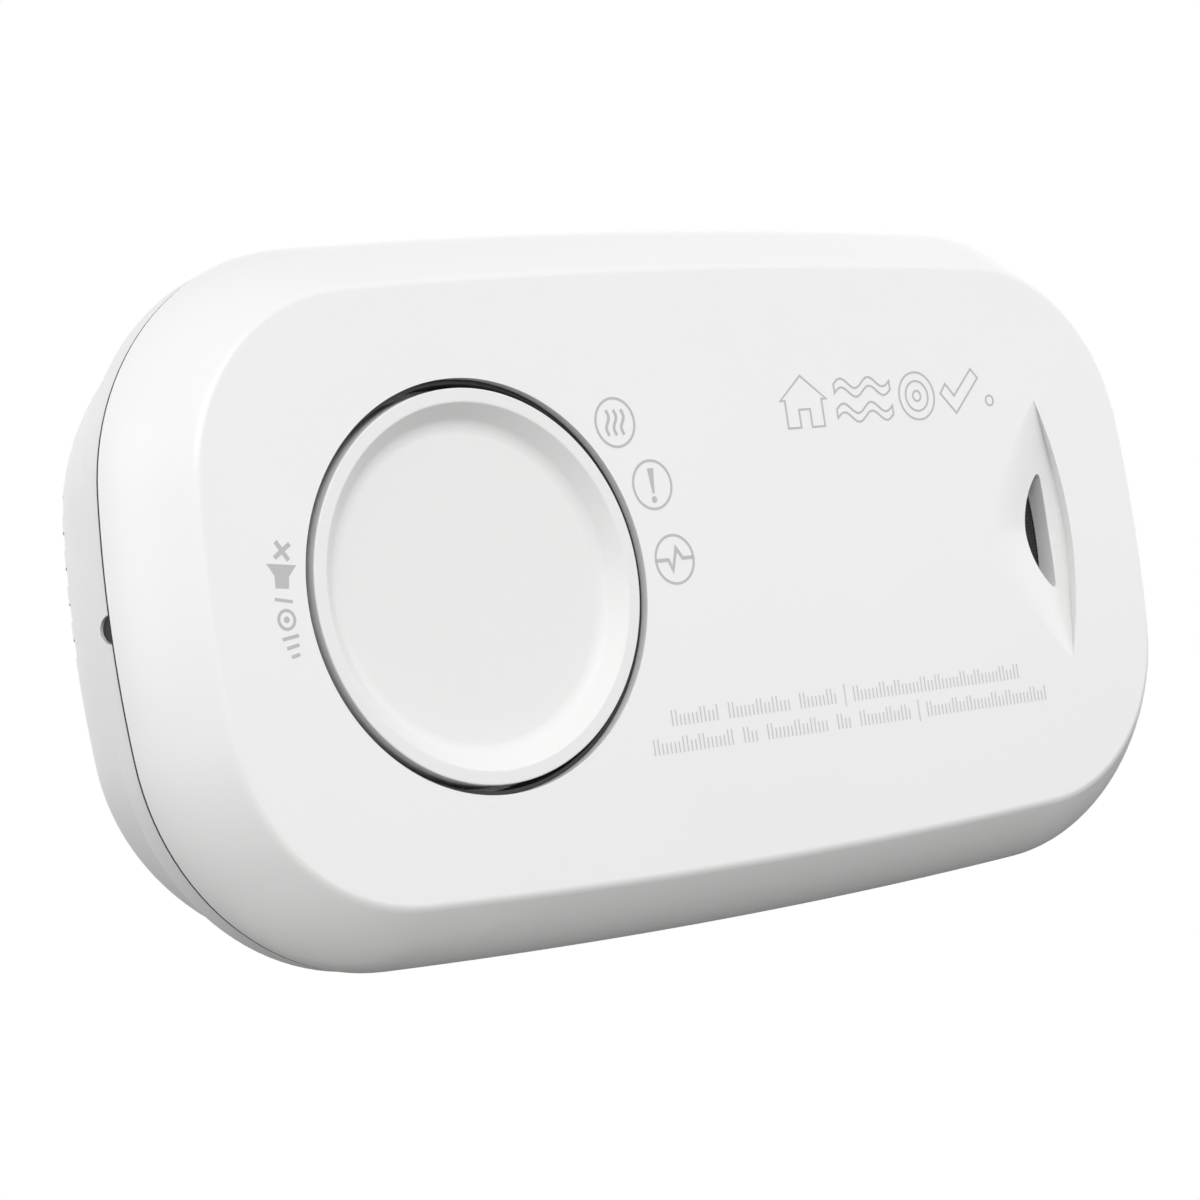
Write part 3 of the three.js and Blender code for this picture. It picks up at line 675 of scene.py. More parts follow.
def lamp_symbols():
    """Rising gas for the alarm lamp, an exclamation mark for faults and a pulse for power."""
    bm = bmesh.new()
    for status in ("alarm", "fault", "power"):
        ink_line(bm, circle_path(lamp_place(status), 2.2 * MM), closed=True)
    for x in (-0.85, 0, 0.85):
        heights = [-1.15 + 2.3 * i / 12 for i in range(13)]
        plume = [(x + 0.2 * math.sin(2.9 * z), z) for z in heights]
        ink_line(bm, path_at(lamp_place("alarm"), plume), 0.3 * MM)
    fault = lamp_place("fault")
    ink_prism(bm, path_at(fault, [(-0.36, 1.5), (0.36, 1.5), (0.11, -0.8), (-0.11, -0.8)]))
    ink_prism(bm, circle_path(fault + Vector((0, -1.35 * MM)), 0.31 * MM, 20))
    pulse = [(-2.1, 0), (-0.75, 0), (-0.35, -0.95), (0.3, 1.0), (0.95, 0.05), (2.1, 0.05)]
    ink_line(bm, path_at(lamp_place("power"), pulse), 0.34 * MM)
    return solid_object("lamp_symbols", bm)


def test_signs():
    """A cross, a loudspeaker, a slash and a press sign, set on an arc round the button."""
    bm = bmesh.new()
    middle = Vector((BUTTON_PLACE.x, BUTTON_PLACE.z))
    orbit = 20.45 * MM

    def on_arc(degrees):
        turn = math.radians(degrees)
        return middle + Vector((math.cos(turn), math.sin(turn))) * orbit, turn - math.pi

    place, turn = on_arc(167.3)
    arm = [(0.98, 0.2), (0.2, 0.2), (0.2, 0.98), (-0.2, 0.98), (-0.2, 0.2), (-0.98, 0.2)]
    arm += [(-x, -z) for x, z in arm]
    ink_prism(bm, path_at(place, arm, turn + math.pi / 4))
    place, turn = on_arc(173.3)
    horn = [(-1.45, 1.0), (-0.7, 0), (-0.66, -1.0), (0.66, -1.0), (0.7, 0), (1.45, 1.0)]
    ink_prism(bm, path_at(place, horn, turn))
    place, turn = on_arc(178.9)
    ink_line(bm, path_at(place, [(-0.85, 0.16), (0.85, -0.16)], turn), 0.26 * MM)
    place, turn = on_arc(183.4)
    ink_line(bm, circle_path(place, 0.78 * MM, 32), 0.27 * MM, closed=True)
    ink_prism(bm, circle_path(place, 0.28 * MM, 20))
    for i, reach in enumerate((0.82, 0.62, 0.42)):
        place, turn = on_arc(187.6 + 2.2 * i)
        ink_line(bm, path_at(place, [(-reach, 0), (reach, 0)], turn), 0.3 * MM)
    return solid_object("test_signs", bm)


def pictogram_row():
    """A house, two ribbons of air, a sensor ring and a tick, all in outline, and a small dot ring."""
    bm = bmesh.new()
    thin = 0.2 * MM
    level = 14.1 * MM
    house = [(-2.3, -2.3), (-2.3, 0.3), (-2.9, 0.3), (0, 2.6), (2.9, 0.3), (2.3, 0.3), (2.3, -2.3)]
    house += [(0.7, -2.3), (0.7, -0.6), (-0.7, -0.6), (-0.7, -2.3)]
    ink_line(bm, path_at(Vector((12.6 * MM, level)), house), thin, closed=True)
    for z in (-1.2, 1.2):
        run = [-3.6 + 7.2 * i / 24 for i in range(25)]
        crest = [(x, z + 0.5 * math.sin(1.75 * x) + 0.42) for x in run]
        trough = [(x, z + 0.5 * math.sin(1.75 * x) - 0.42) for x in run[::-1]]
        ink_line(bm, path_at(Vector((20.3 * MM, level)), crest + trough), thin, closed=True)
    for radius in (2.3, 1.45, 0.5):
        ink_line(bm, circle_path(Vector((27.3 * MM, level)), radius * MM), thin, closed=True)
    tick = [(-2.6, 0.1), (-1.8, 1.0), (-0.8, -0.2), (1.9, 2.3), (2.7, 1.4), (-0.8, -1.9)]
    ink_line(bm, path_at(Vector((33.1 * MM, level)), tick), thin, closed=True)
    ink_line(bm, circle_path(Vector((37.0 * MM, level - 0.9 * MM)), 0.5 * MM, 24), thin, closed=True)
    return solid_object("pictogram_row", bm)


def text_ticks():
    """Two rows of fine upright ticks in word-long groups, with a taller divider in each row."""
    bm = bmesh.new()
    cell = 0.965 * MM
    small, tall_stroke = 1.0 * MM, 1.45 * MM
    rows = (
        (-8.9 * MM, -14.15 * MM, (6, 8, 5, 0, 23)),
        (-11.4 * MM, -16.55 * MM, (10, 2, 8, 2, 7, 0, 17)),
    )
    for start, base, groups in rows:
        x = start
        for cells in groups:
            for i in range(2 * cells):
                tall = tall_stroke if (i * i + 3 * i) % 11 in (0, 4) else small
                foot = Vector((x + (i / 2 + 0.2) * cell, base))
                ink_line(bm, [foot, foot + Vector((0, tall))], 0.14 * MM)
            if cells == 0:
                foot = Vector((x, base - 0.35 * MM))
                ink_line(bm, [foot, foot + Vector((0, 2.1 * MM))], 0.14 * MM)
            x += (cells + 1) * cell
    return solid_object("text_ticks", bm)


GREY_INK = moulded_plastic(
    "pale_grey_ink", (0.52, 0.52, 0.52), (0.48, 0.48, 0.48), 0.42, 0.1 * MM, 0.3, 0.1
)
THIN_INK = moulded_plastic(
    "thin_grey_ink", (0.6, 0.6, 0.6), (0.56, 0.56, 0.56), 0.42, 0.1 * MM, 0.3, 0.1
)
for marks in (lamp_symbols(), test_signs(), pictogram_row()):
    dress(marks, GREY_INK, "alarm", "white_gloss")
dress(text_ticks(), THIN_INK, "alarm", "white_gloss")

# ---- Rear tray ----
# The deep half of the case, moulded in white ABS with a satin finish. It has a rim band that meets
# the cover, sides that turn softly into the back, gas vents in the left end, a pry notch and four
# hook slots.

tray_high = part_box("rear_housing")[1]
BACK_DEPTH = tray_high.y - FACE_Y
BACK_INSET = 13.5 * MM
DRAFT_START = (1.1 * MM, 10.9 * MM)
DRAFT_END_DEPTH = 17 * MM
DRAFT = 0.28
RIM_FRONT = PARTING_DEPTH + 0.3 * MM
RIM_BACK = 10.5 * MM
NOTCH_HEIGHT = 0.1 * MM
VENT_COUNT = 6
VENT_PITCH = 3.1 * MM
VENT_FIRST_Z = -0.25 * MM
VENT_FRONT = 21.1 * MM
TRAVEL = {joint["name"]: joint["range_m"][1] for joint in frame["joints"]}


def tray_side(back_depth, back_inset, added, steps):
    """The tray's side: a straight draft, then an elliptical turn into the back."""
    start = DRAFT_START[0] + DRAFT * (DRAFT_END_DEPTH - DRAFT_START[1])
    reach = back_depth - DRAFT_END_DEPTH
    turn = back_inset - start - DRAFT * reach
    points = [(DRAFT_START[0] + added, DRAFT_START[1])]
    for i in range(steps + 1):
        angle = math.pi / 2 * i / steps
        past = reach * math.sin(angle)
        points.append((start + DRAFT * past + turn * (1 - math.cos(angle)) + added, DRAFT_END_DEPTH + past))
    return points


def tray_shell():
    """The tray's closed section swept round the outline: tongue, rim band, side and back."""
    edge = 0.12 * MM
    rim_inset = HALF_WIDTH - tray_high.x
    wall = COVER_WALL
    outside = tray_side(BACK_DEPTH, BACK_INSET, 0, 26)
    inside = tray_side(BACK_DEPTH - wall, BACK_INSET - 1.4 * MM, wall, 12)
    tongue = 2.85 * MM
    rim = [(3.9 * MM, 9.6 * MM), (3.9 * MM, 6.2 * MM), (tongue, 6.2 * MM), (tongue, RIM_FRONT)]
    rim += bend((rim_inset + edge, RIM_FRONT), (rim_inset, RIM_FRONT), (rim_inset, RIM_FRONT + edge), 4)
    rim += bend((rim_inset, RIM_BACK - edge), (rim_inset, RIM_BACK), (rim_inset + edge, RIM_BACK), 4)
    step = DRAFT_START[0]
    foot = bend((step - 0.2 * MM, RIM_BACK + 0.05 * MM), (step, RIM_BACK + 0.08 * MM), DRAFT_START, 3)
    bm = bmesh.new()
    skin(bm, [ring(bm, *spot) for spot in inside[::-1] + rim + foot[:-1] + outside])
    return solid_object("rear_tray_shell", bm)


def vent_tools():
    """One plain block cutter for each gas vent; the tray's later rounding makes the bars between the vents
    look scalloped.
    """
    tools = []
    for i in range(VENT_COUNT):
        z = VENT_FIRST_Z + VENT_PITCH * i
        tools.append(block((-62 * MM, VENT_FRONT, z - 0.8 * MM), (-47.5 * MM, 31 * MM, z + 0.8 * MM)))
    return tools


def pry_notch_tool(grow=0.0, start=0.0):
    """A half-round notch at the parting line, for a blade that opens the case."""
    notch = bar(Vector((0, 0, 0)), 1 * MM, start, 4.6 * MM, 48)
    shape = Matrix.Diagonal((1.85 - grow, 1, 1.25 - grow, 1))
    turn = Matrix.Rotation(math.pi / 2, 4, "Z")
    middle = Matrix.Translation((-HALF_WIDTH + 2.4 * MM, FACE_Y + RIM_FRONT, NOTCH_HEIGHT))
    notch.data.transform(middle @ turn @ shape @ Matrix.Translation((0, -FACE_Y, 0)))
    return notch


def hook_slot_tools():
    """The slots that the wall plate's hooks enter: each is as tall as its hook plus the lift travel."""
    tools = []
    for x, z in HOOK_PLACES:
        low = (x - 3.3 * MM, BACK_DEPTH - 4 * MM, z - 1.3 * MM - TRAVEL["alarm_lift"])
        tools.append(block(low, (x + 3.3 * MM, BACK_DEPTH + 1 * MM, z + 1.3 * MM)))
    return tools


HOOK_PLACES = [(x * MM, z * MM) for x, z in ((-27, 11.5), (27, 11.5), (-41.5, -3), (41.5, -3))]


def rear_tray():
    tray = tray_shell()
    cell_low, cell_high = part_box("lithium_cell")
    cell = (cell_low + cell_high) / 2
    for x in (-5 * MM, 27 * MM):
        low = (x - 1 * MM, 22 * MM, cell.z - 7.5 * MM)
        saddle = block(low, (x + 1 * MM, BACK_DEPTH - 1 * MM, cell.z + 7.5 * MM))
        bore = bar(Vector((0, 0, 0)), 7.4 * MM, 0, 6 * MM, 96)
        lay = Matrix.Rotation(-math.pi / 2, 4, "Z") @ Matrix.Translation((0, -FACE_Y, 0))
        bore.data.transform(Matrix.Translation((x - 3 * MM, cell.y, cell.z)) @ lay)
        carve(tray, carve(saddle, bore), "UNION")
    bm = bmesh.new()
    skin(bm, [ring(bm, inset, depth) for inset, depth in tray_side(BACK_DEPTH, BACK_INSET, 0.4 * MM, 12)])
    filling = solid_object("tray_filling", bm)
    posts = [bar(spot, 4.6 * MM, 21.8 * MM, 27.5 * MM, 64) for spot in screw_places("case_screw").values()]
    carve(tray, carve(merge(posts), filling, "INTERSECT"), "UNION")
    for spot in screw_places("case_screw").values():
        carve(tray, bar(spot, 3.3 * MM, 24.4 * MM, 31 * MM, 64))
        carve(tray, bar(spot, 1.6 * MM, 20 * MM, 30 * MM))
    carve(tray, merge(vent_tools() + hook_slot_tools() + [pry_notch_tool()]))
    return soften(tray, 0.22 * MM, 2, 50)


SATIN_WHITE = moulded_plastic(
    "satin_white_abs", (0.8, 0.8, 0.795), (0.77, 0.77, 0.765), 0.5, 0.3 * MM, 0.5, 0.3
)
tray = rear_tray()
tray.name = "rear_tray_moulding"
dress(tray, SATIN_WHITE, "alarm", "white_gloss", "rear_housing")

# ---- Vent screen (painted shade) ----
# A strip of the black woven polyester glued inside the tray, behind the gas vents. It paints the shade
# seen through the vents black.


# Painted shade: the black strip stands in for the shade seen through the vents.
def vent_shade_screen():
    """A thin skin that follows the tray's inner side, cropped to the vents."""
    depth = BACK_DEPTH - COVER_WALL
    inset = BACK_INSET - 1.4 * MM
    outer = tray_side(depth, inset, COVER_WALL + 0.06 * MM, 24)
    inner = tray_side(depth - 0.2 * MM, inset, COVER_WALL + 0.26 * MM, 24)
    bm = bmesh.new()
    rings = [ring(bm, *spot) for spot in outer + inner[::-1]]
    skin(bm, rings + rings[:1], closed=False)
    window = block((-62 * MM, 20.2 * MM, -1.9 * MM), (-46.5 * MM, 28 * MM, 17.1 * MM))
    return shade(carve(solid_object("vent_shade_screen", bm), window, "INTERSECT"))


dress(vent_shade_screen(), BLACK_MESH, "alarm", "black_plastic")

# ---- Parting gap seal (painted shade) ----
# A flat black rubber band clamped between the cover and the tray's rim, all round the case. Its black
# paints the shadow of the parting gap. A tab on it fills the pry notch with the same painted shade.

RUBBER = moulded_plastic(
    "black_rubber", (0.02, 0.02, 0.02), (0.035, 0.034, 0.033), 0.72, 0.12 * MM, 2.0, 0.6
)


# Painted shade: a black band in the parting gap, standing in for the gap's shadow.
def case_seal():
    front = PARTING_DEPTH + 0.05 * MM
    back = RIM_FRONT - 0.05 * MM
    bm = bmesh.new()
    section = [(0.05 * MM, front), (0.05 * MM, back), (2.7 * MM, back), (2.7 * MM, front)]
    rings = [ring(bm, *spot) for spot in section]
    skin(bm, rings + rings[:1], closed=False)
    band = solid_object("case_seal", bm)
    # The tab paints the shade inside the pry notch black.
    room = block((-59.5 * MM, back - 0.1 * MM, -2 * MM), (-57 * MM, 12 * MM, 2 * MM))
    tab = carve(pry_notch_tool(0.06, 0.1 * MM), room, "INTERSECT")
    return shade(carve(band, tab, "UNION"))


dress(case_seal(), RUBBER, "alarm", "rubber")

# ---- Wall plate ----
# A flat matt ABS plate that stays screwed to the wall. Two keyholes take the screws and four hooks
# reach through the tray's slots.

plate_low, plate_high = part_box("wall_plate")
PLATE_THICKNESS = 2.6 * MM
KEYHOLE_PLACES = (-30 * MM, 30 * MM)
KEYHOLE_ENTRY = {"radius": 4.2 * MM, "z": -5.5 * MM}
KEYHOLE_NECK = {"radius": 2.2 * MM, "z": 1.5 * MM}
POCKET_HALF = 6.4 * MM
POCKET_DEPTH = 0.9 * MM


def sunk_marks(back):
    """Shallow round ejector marks and a pointer to the top edge, sunk in the plate's back."""
    low = back - 0.15 * MM
    places = [Vector((x, 0, z)) for x in (-38 * MM, 38 * MM) for z in (-12 * MM, 9 * MM)]
    marks = [bar(place, 2 * MM, low, back + 1 * MM) for place in places]
    bm = bmesh.new()
    pointer = [(-1.6 * MM, 15.2 * MM), (1.6 * MM, 15.2 * MM), (0, 17.2 * MM)]
    skin(bm, [[bm.verts.new((x, FACE_Y + depth, z)) for x, z in pointer] for depth in (low, back + 1 * MM)])
    marks.append(solid_object("pointer", bm))
    return merge(marks)


def wall_plate():
    """The plate with its hooks, keyholes and the pockets that keep its back from sinking."""
    edge = 0.5 * MM
    inset = HALF_WIDTH - plate_high.x
    front = plate_high.y - PLATE_THICKNESS - FACE_Y
    back = plate_high.y - FACE_Y
    rounded = bend((inset + edge, front), (inset, front), (inset, front + edge), 4)
    bm = bmesh.new()
    skin(bm, [ring(bm, *spot) for spot in rounded + [(inset, back)]])
    plate = solid_object("wall_plate_moulding", bm)
    lip_front = plate_low.y - FACE_Y
    for x, z in HOOK_PLACES:
        stem = block((x - 2.8 * MM, lip_front, z - 1 * MM), (x + 2.8 * MM, back - 1 * MM, z + 1 * MM))
        lip_back = lip_front + 1.6 * MM
        lip = block((x - 2.8 * MM, lip_front, z), (x + 2.8 * MM, lip_back, z + 5.5 * MM))
        carve(plate, carve(stem, lip, "UNION"), "UNION")
    start, end = front - 1 * MM, back + 1 * MM
    entry_z, neck_z, half = KEYHOLE_ENTRY["z"], KEYHOLE_NECK["z"], KEYHOLE_NECK["radius"]
    for x in KEYHOLE_PLACES:
        entry = bar(Vector((x, 0, entry_z)), KEYHOLE_ENTRY["radius"], start, end, 64)
        top = bar(Vector((x, 0, neck_z)), half, start, end, 48)
        neck = block((x - half, start, entry_z), (x + half, end, neck_z))
        carve(plate, carve(carve(entry, neck, "UNION"), top, "UNION"))
    for x in (-14.5 * MM, 0, 14.5 * MM):
        for z in (-7.5 * MM, 7.5 * MM):
            low = (x - POCKET_HALF, back - POCKET_DEPTH, z - POCKET_HALF)
            carve(plate, block(low, (x + POCKET_HALF, end, z + POCKET_HALF)))
    soften(plate, 0.2 * MM, 2, 50)
    return shade(carve(plate, sunk_marks(back)))


plate = wall_plate()
dress(plate, MATT_WHITE, "plate", "white_matt", "wall_plate")

# ---- Return spring ----
# A coil of bright steel wire between the button's spring seat and the circuit board. Its end turns
# are closed.

spring_low, spring_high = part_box("return_spring")
WIRE_RADIUS = 0.35 * MM


def return_spring():
    """Round wire swept along a helix whose first and last turns lie nearly flat."""
    bm = bmesh.new()
    turns = 4.5
    steps = 300
    radius = (spring_high.x - spring_low.x) / 2 - WIRE_RADIUS
    centre = Vector((BUTTON_PLACE.x, 0, BUTTON_PLACE.z))
    front = spring_low.y + WIRE_RADIUS
    length = spring_high.y - spring_low.y - 2 * WIRE_RADIUS

    def spot(t):
        rise = t - 0.11 * math.sin(2 * math.pi * t)
        angle = 2 * math.pi * turns * t
        return centre + Vector((radius * math.cos(angle), front + length * rise, radius * math.sin(angle)))

    rings = []
    for i in range(steps + 1):
        t = i / steps
        along = (spot(min(1, t + 0.001)) - spot(max(0, t - 0.001))).normalized()
        out = Vector((math.cos(2 * math.pi * turns * t), 0, math.sin(2 * math.pi * turns * t)))
        side = along.cross(out).normalized()
        turn = [2 * math.pi * k / 12 for k in range(12)]
        wire = [spot(t) + (out * math.cos(a) + side * math.sin(a)) * WIRE_RADIUS for a in turn]
        rings.append([bm.verts.new(point) for point in wire])
    skin(bm, rings)
    return solid_object("return_spring_coil", bm)


def metal_surface_group():
    """Colour, roughness and height of a drawn or plated metal: fine lines, dull spots and dust."""
    inputs = [
        ("Colour", "Color", (0.6, 0.6, 0.6, 1)),
        ("Roughness", "Float", 0.25),
        ("Line Density", "Float", 900.0),
        ("Line Height", "Float", 0.5),
    ]
    outputs = [("Colour", "Color", None), ("Roughness", "Float", None), ("Height", "Float", None)]
    group = node_group("metal_surface", inputs, outputs)
    start = group.nodes.new("NodeGroupInput").outputs
    end = group.nodes.new("NodeGroupOutput").inputs
    spot = group.nodes.new("ShaderNodeTexCoord").outputs["Object"]
    stretch = add_node(group, "Mapping", Vector=spot, Scale=(1, 0.08, 1))
    lines = add_node(group, "TexNoise", Vector=stretch.outputs[0], Scale=start["Line Density"], Detail=3)
    spots = add_node(group, "TexNoise", Vector=spot, Scale=220, Detail=5, Roughness=0.65)
    dull = add_node(group, "MapRange", Value=spots.outputs[0], From_Min=0.35, From_Max=0.7, To_Max=0.22)
    group.links.new(sum_of(group, "ADD", start["Roughness"], dull.outputs[0]), end["Roughness"])
    shade_mix = add_node(group, "Mix", n6=start["Colour"], n7=(0.32, 0.3, 0.28, 1))
    shade_mix.data_type = "RGBA"
    group.links.new(sum_of(group, "MULTIPLY", dull.outputs[0], 1.2), shade_mix.inputs[0])
    group.links.new(shade_mix.outputs[2], end["Colour"])
    group.links.new(sum_of(group, "MULTIPLY", lines.outputs[0], start["Line Height"]), end["Height"])
    return group


METAL_SURFACE = metal_surface_group()


def bare_metal(name, colour, roughness, density):
    """A metal with the shared surface group; its Metallic is plain."""
    material, tree, shader = new_material(name)
    look = {"Colour": (*colour, 1), "Roughness": roughness, "Line_Density": density}
    place_surface(tree, shader, METAL_SURFACE, 8 * MICRON, **look)
    shader.inputs["Metallic"].default_value = 1.0
    return material


SPRING_STEEL = bare_metal("spring_steel_wire", (0.62, 0.62, 0.63), 0.22, 2400.0)
spring = shade(return_spring())
dress(spring, SPRING_STEEL, "alarm", "steel", "return_spring")
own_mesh(spring)

# ---- Button switch ----
# A small tactile switch soldered to the board under the button: a black nylon body, and a plunger
# of its own that the button's stem pushes.


def finish(material, *nodes):
    """Gives carried-over CAD nodes a material."""
    for name in nodes:
        node = frame["nodes"][name]
        node.data.materials.clear()
        node.data.materials.append(material)


finish(BLACK_NYLON, "switch_body", "switch_plunger")

# ---- Circuit board ----
# Glass fibre laminate under green solder mask, with copper tracks showing through it. Two screws
# hold it to bosses in the cover.


def board_material():
    """Green mask with darker and lighter track shapes, the laminate's weave and specks of flux."""
    material, tree, shader = new_material("green_solder_mask")
    spot = tree.nodes.new("ShaderNodeTexCoord").outputs["Object"]
    flat = add_node(tree, "Mapping", Vector=spot, Rotation=(math.pi / 2, 0, 0))
    tracks = add_node(tree, "TexBrick", Vector=flat.outputs[0], Scale=130, Mortar_Size=0.018)
    tracks.inputs["Color1"].default_value = (0.018, 0.11, 0.05, 1)
    tracks.inputs["Color2"].default_value = (0.022, 0.13, 0.06, 1)
    tracks.inputs["Mortar"].default_value = (0.05, 0.2, 0.08, 1)
    weave = add_node(tree, "TexWave", Vector=spot, Scale=900, Distortion=0.6, Detail=1)
    flux = add_node(tree, "TexNoise", Vector=spot, Scale=500, Detail=4)
    spread = add_node(tree, "MapRange", Value=flux.outputs[0], To_Min=0.25, To_Max=0.5)
    height = sum_of(tree, "ADD", weave.outputs["Fac"], sum_of(tree, "MULTIPLY", tracks.outputs["Fac"], 4.0))
    face_shader(tree, shader, tracks.outputs["Color"], spread.outputs[0], height, 6 * MICRON)
    return material


finish(board_material(), "circuit_board")

# ---- Pieces on the board ----
# A controller chip, a wound boost coil and two capacitors in black sleeves, and a row of gold-plated
# service pins, all soldered to the board.

BLACK_EPOXY = moulded_plastic(
    "black_epoxy", (0.022, 0.022, 0.024), (0.04, 0.04, 0.042), 0.55, 0.08 * MM, 2.0, 0.3
)
BLACK_SLEEVE = moulded_plastic(
    "black_shrink_sleeve", (0.015, 0.016, 0.02), (0.03, 0.03, 0.036), 0.32, 0.4 * MM, 0.4, 1.5
)
GOLD_PLATE = bare_metal("gold_plated_pins", (0.83, 0.6, 0.25), 0.2, 1500.0)
finish(BLACK_EPOXY, "mcu_chip", "boost_coil")
finish(BLACK_SLEEVE, "capacitor_1", "capacitor_2")
finish(GOLD_PLATE, "pin_header")

# ---- Lamps ----
# Three clear 3 mm lamps in a black light shield, each with a clear acrylic light pipe behind its
# printed symbol.


def clear_material(name, tint, roughness):
    """Clear moulded plastic, faintly tinted, with slight flow marks in its polish."""
    material, tree, shader = new_material(name)
    flow = add_node(tree, "TexNoise", Scale=300, Detail=3)
    spread = add_node(tree, "MapRange", Value=flow.outputs[0], To_Min=roughness, To_Max=roughness + 0.1)
    tint_mix = add_node(tree, "Mix", n0=flow.outputs[0], n6=(*tint, 1), n7=(0.95, 0.97, 0.98, 1))
    tint_mix.data_type = "RGBA"
    face_shader(tree, shader, tint_mix.outputs[2], spread.outputs[0], flow.outputs[0], 5 * MICRON, 0.4)
    shader.inputs["Transmission Weight"].default_value = 0.9
    shader.inputs["IOR"].default_value = 1.49
    return material


STATUSES = ("alarm", "fault", "power")
finish(clear_material("lamp_epoxy", (0.9, 0.93, 0.97), 0.06), *["lamp_" + s for s in STATUSES])
finish(clear_material("light_pipe_acrylic", (0.92, 0.94, 0.95), 0.1), *["light_pipe_" + s for s in STATUSES])
finish(BLACK_NYLON, "light_shield")

# ---- Sounder ----
# A brass disc with a fired ceramic disc bonded to it, laid on a rubber gasket against the cover's
# rib and held by a black retainer under the board.

BRASS_SHEET = bare_metal("brass_sheet", (0.78, 0.57, 0.26), 0.26, 700.0)
CERAMIC = moulded_plastic("fired_ceramic", (0.62, 0.61, 0.57), (0.52, 0.51, 0.48), 0.5, 0.1 * MM, 1.2, 0.4)
finish(RUBBER, "sounder_gasket")
finish(BRASS_SHEET, "sounder_diaphragm")
finish(CERAMIC, "sounder_ceramic")
finish(BLACK_NYLON, "sounder_retainer")

# ---- Gas sensor ----
# An electrochemical cell in a plated steel can, with a rubber seal and a white diffusion cap whose
# six holes let the air in.

PLATED_STEEL = bare_metal("plated_steel", (0.66, 0.66, 0.65), 0.24, 600.0)
finish(PLATED_STEEL, "sensor_can")
finish(RUBBER, "sensor_seal")
finish(MATT_WHITE, "sensor_cap")

# ---- Lithium cell ----
# A sealed AA-size lithium cell in a blue shrink sleeve, welded between two nickel-plated steel tabs.

CELL_SLEEVE = moulded_plastic(
    "blue_shrink_sleeve", (0.035, 0.12, 0.36), (0.03, 0.1, 0.3), 0.28, 0.5 * MM, 0.5, 2.0
)
finish(CELL_SLEEVE, "lithium_cell")
finish(bare_metal("nickel_tab", (0.7, 0.68, 0.64), 0.2, 500.0), "cell_tab_positive", "cell_tab_negative")

# ---- Screws ----
# Zinc-plated pan-head screws with a cross recess: four close the case from behind, and two hold the
# board.

ZINC_PLATE = bare_metal("zinc_plated_steel", (0.68, 0.7, 0.72), 0.22, 1200.0)
finish(ZINC_PLATE, *[name for name in frame["nodes"] if "_screw_" in name])

# ---- Floor, light and camera ----
# A small pale floor under the part, a soft studio sky and two large lamps, with the camera low and
# to the left of the part.

FLOOR_DEPTH = -0.5
floor_bm = bmesh.new()
bmesh.ops.create_circle(floor_bm, cap_ends=True, radius=0.3, segments=96)
floor = solid_object("floor", floor_bm)
floor.location = (0, 0, FLOOR_DEPTH)
floor_material, floor_tree, floor_shader = new_material("pale_floor")
floor_noise = add_node(floor_tree, "TexNoise", Scale=30)
floor_range = add_node(floor_tree, "MapRange", Value=floor_noise.outputs[0], To_Min=0.5, To_Max=0.6)
floor_tree.links.new(floor_range.outputs[0], floor_shader.inputs["Roughness"])
floor_shader.inputs["Base Color"].default_value = (0.8, 0.8, 0.79, 1)
floor.data.materials.append(floor_material)


def soft_lamp(name, place, size, power):
    """A rectangular area lamp aimed at the part: size is its width and height."""
    data = bpy.data.lights.new(name, "AREA")
    data.shape = "RECTANGLE"
    data.size, data.size_y = size
    data.energy = power
    lamp = bpy.data.objects.new(name, data)
    scene.collection.objects.link(lamp)
    lamp.location = place
    lamp.rotation_euler = (-Vector(place)).to_track_quat("-Z", "Y").to_euler()


soft_lamp("key_lamp", (-0.3, -1.0, 0.6), (0.9, 0.6), 4.3)
soft_lamp("left_lamp", (-0.95, -0.1, 0.3), (0.5, 0.7), 0.95)

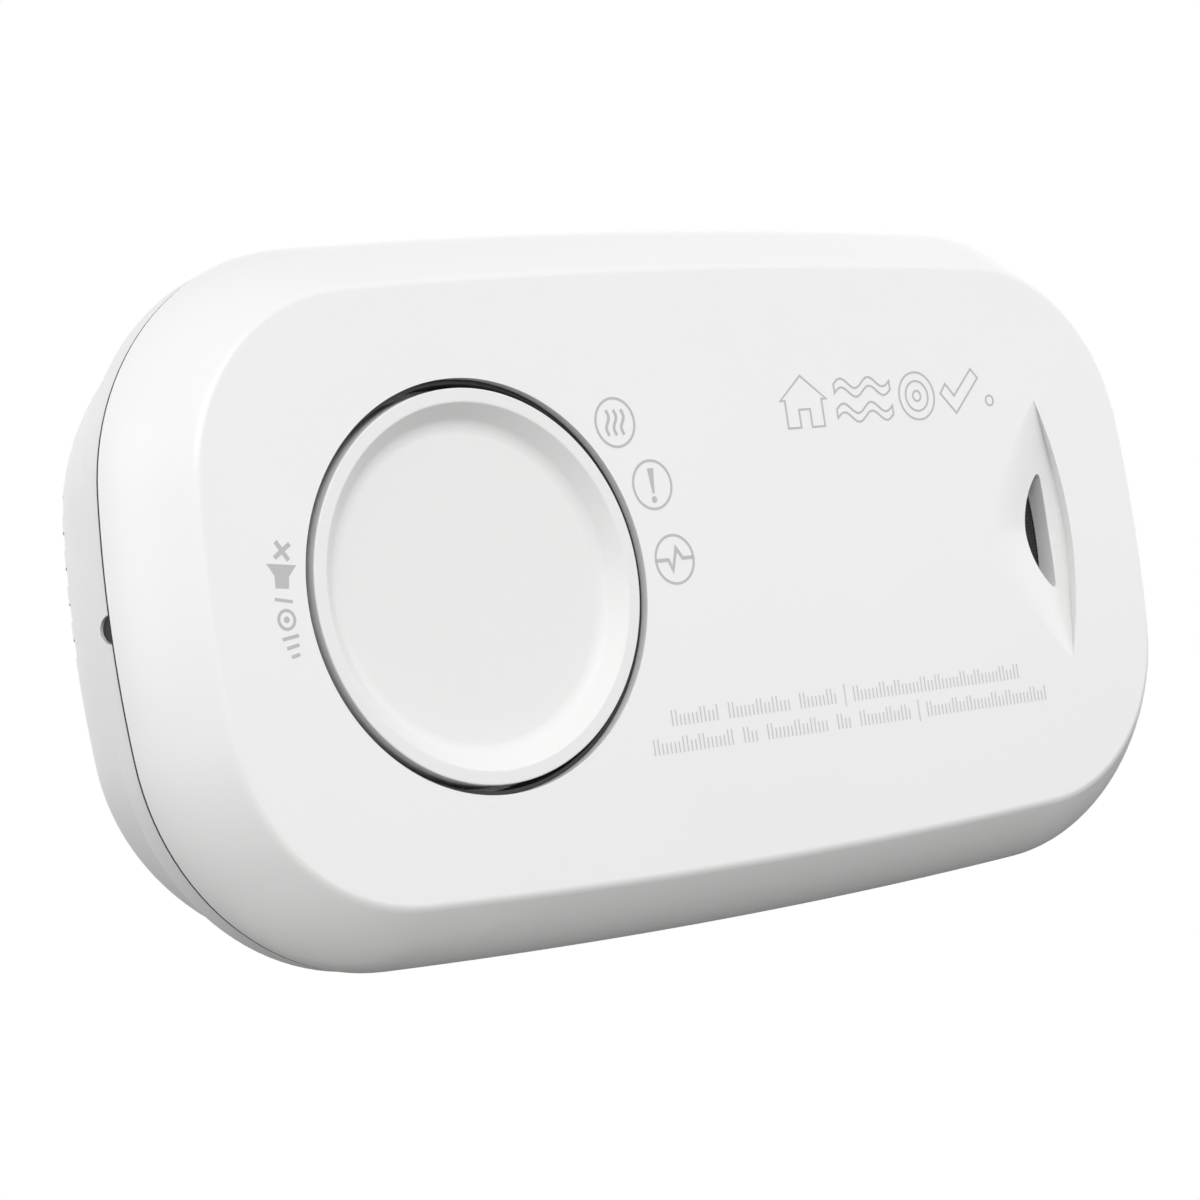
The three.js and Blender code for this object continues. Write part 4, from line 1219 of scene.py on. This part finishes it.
# The sky's brightness by height: dim below, brightest just over the horizon, softer overhead.
SKY = ((0.0, 0.03), (0.44, 0.16), (0.53, 1.9), (0.7, 1.32), (1.0, 0.12))
world = bpy.data.worlds.new("studio_sky")
scene.world = world
world.use_nodes = True
sky = world.node_tree
background = sky.nodes["Background"]
background.inputs["Color"].default_value = (1, 1, 1, 1)
direction = sky.nodes.new("ShaderNodeTexCoord").outputs["Generated"]
split = add_node(sky, "SeparateXYZ", Vector=direction)
height = add_node(sky, "MapRange", Value=split.outputs["Z"], From_Min=-1)
ramp = add_node(sky, "ValToRGB", Fac=height.outputs[0])
ramp.color_ramp.elements.remove(ramp.color_ramp.elements[0])
for i, (place, level) in enumerate(SKY):
    stop = ramp.color_ramp.elements[0] if i == 0 else ramp.color_ramp.elements.new(place)
    stop.position = place
    stop.color = (level, level, level, 1)
path = sky.nodes.new("ShaderNodeLightPath")
shown = add_node(sky, "Mix", n0=path.outputs["Is Camera Ray"], n2=ramp.outputs[0], n3=1.0)
sky.links.new(shown.outputs[0], background.inputs["Strength"])

scene.view_settings.view_transform = "Standard"

AZIMUTH = math.radians(-38.58)
ELEVATION = math.radians(-2.8)
ROLL = math.radians(-8.32)
DISTANCE = 0.3007
TARGET = Vector((-14.9 * MM, FACE_Y, -2.23 * MM))


def camera_axes():
    """The camera's right, up and back directions."""
    flat = math.cos(ELEVATION)
    back = Vector((math.sin(AZIMUTH) * flat, -math.cos(AZIMUTH) * flat, math.sin(ELEVATION)))
    level = Vector((math.cos(AZIMUTH), math.sin(AZIMUTH), 0))
    raised = back.cross(level)
    right = level * math.cos(ROLL) + raised * math.sin(ROLL)
    up = raised * math.cos(ROLL) - level * math.sin(ROLL)
    return right, up, back


right, up, back = camera_axes()
camera_data = bpy.data.cameras.new("camera")
camera_data.lens = 102.2
camera_data.sensor_width = 36
camera_data.clip_start = 0.01
camera = bpy.data.objects.new("camera", camera_data)
scene.collection.objects.link(camera)
turn = Matrix((right, up, back)).transposed().to_4x4()
camera.matrix_world = Matrix.Translation(TARGET + back * DISTANCE) @ turn
scene.camera = camera
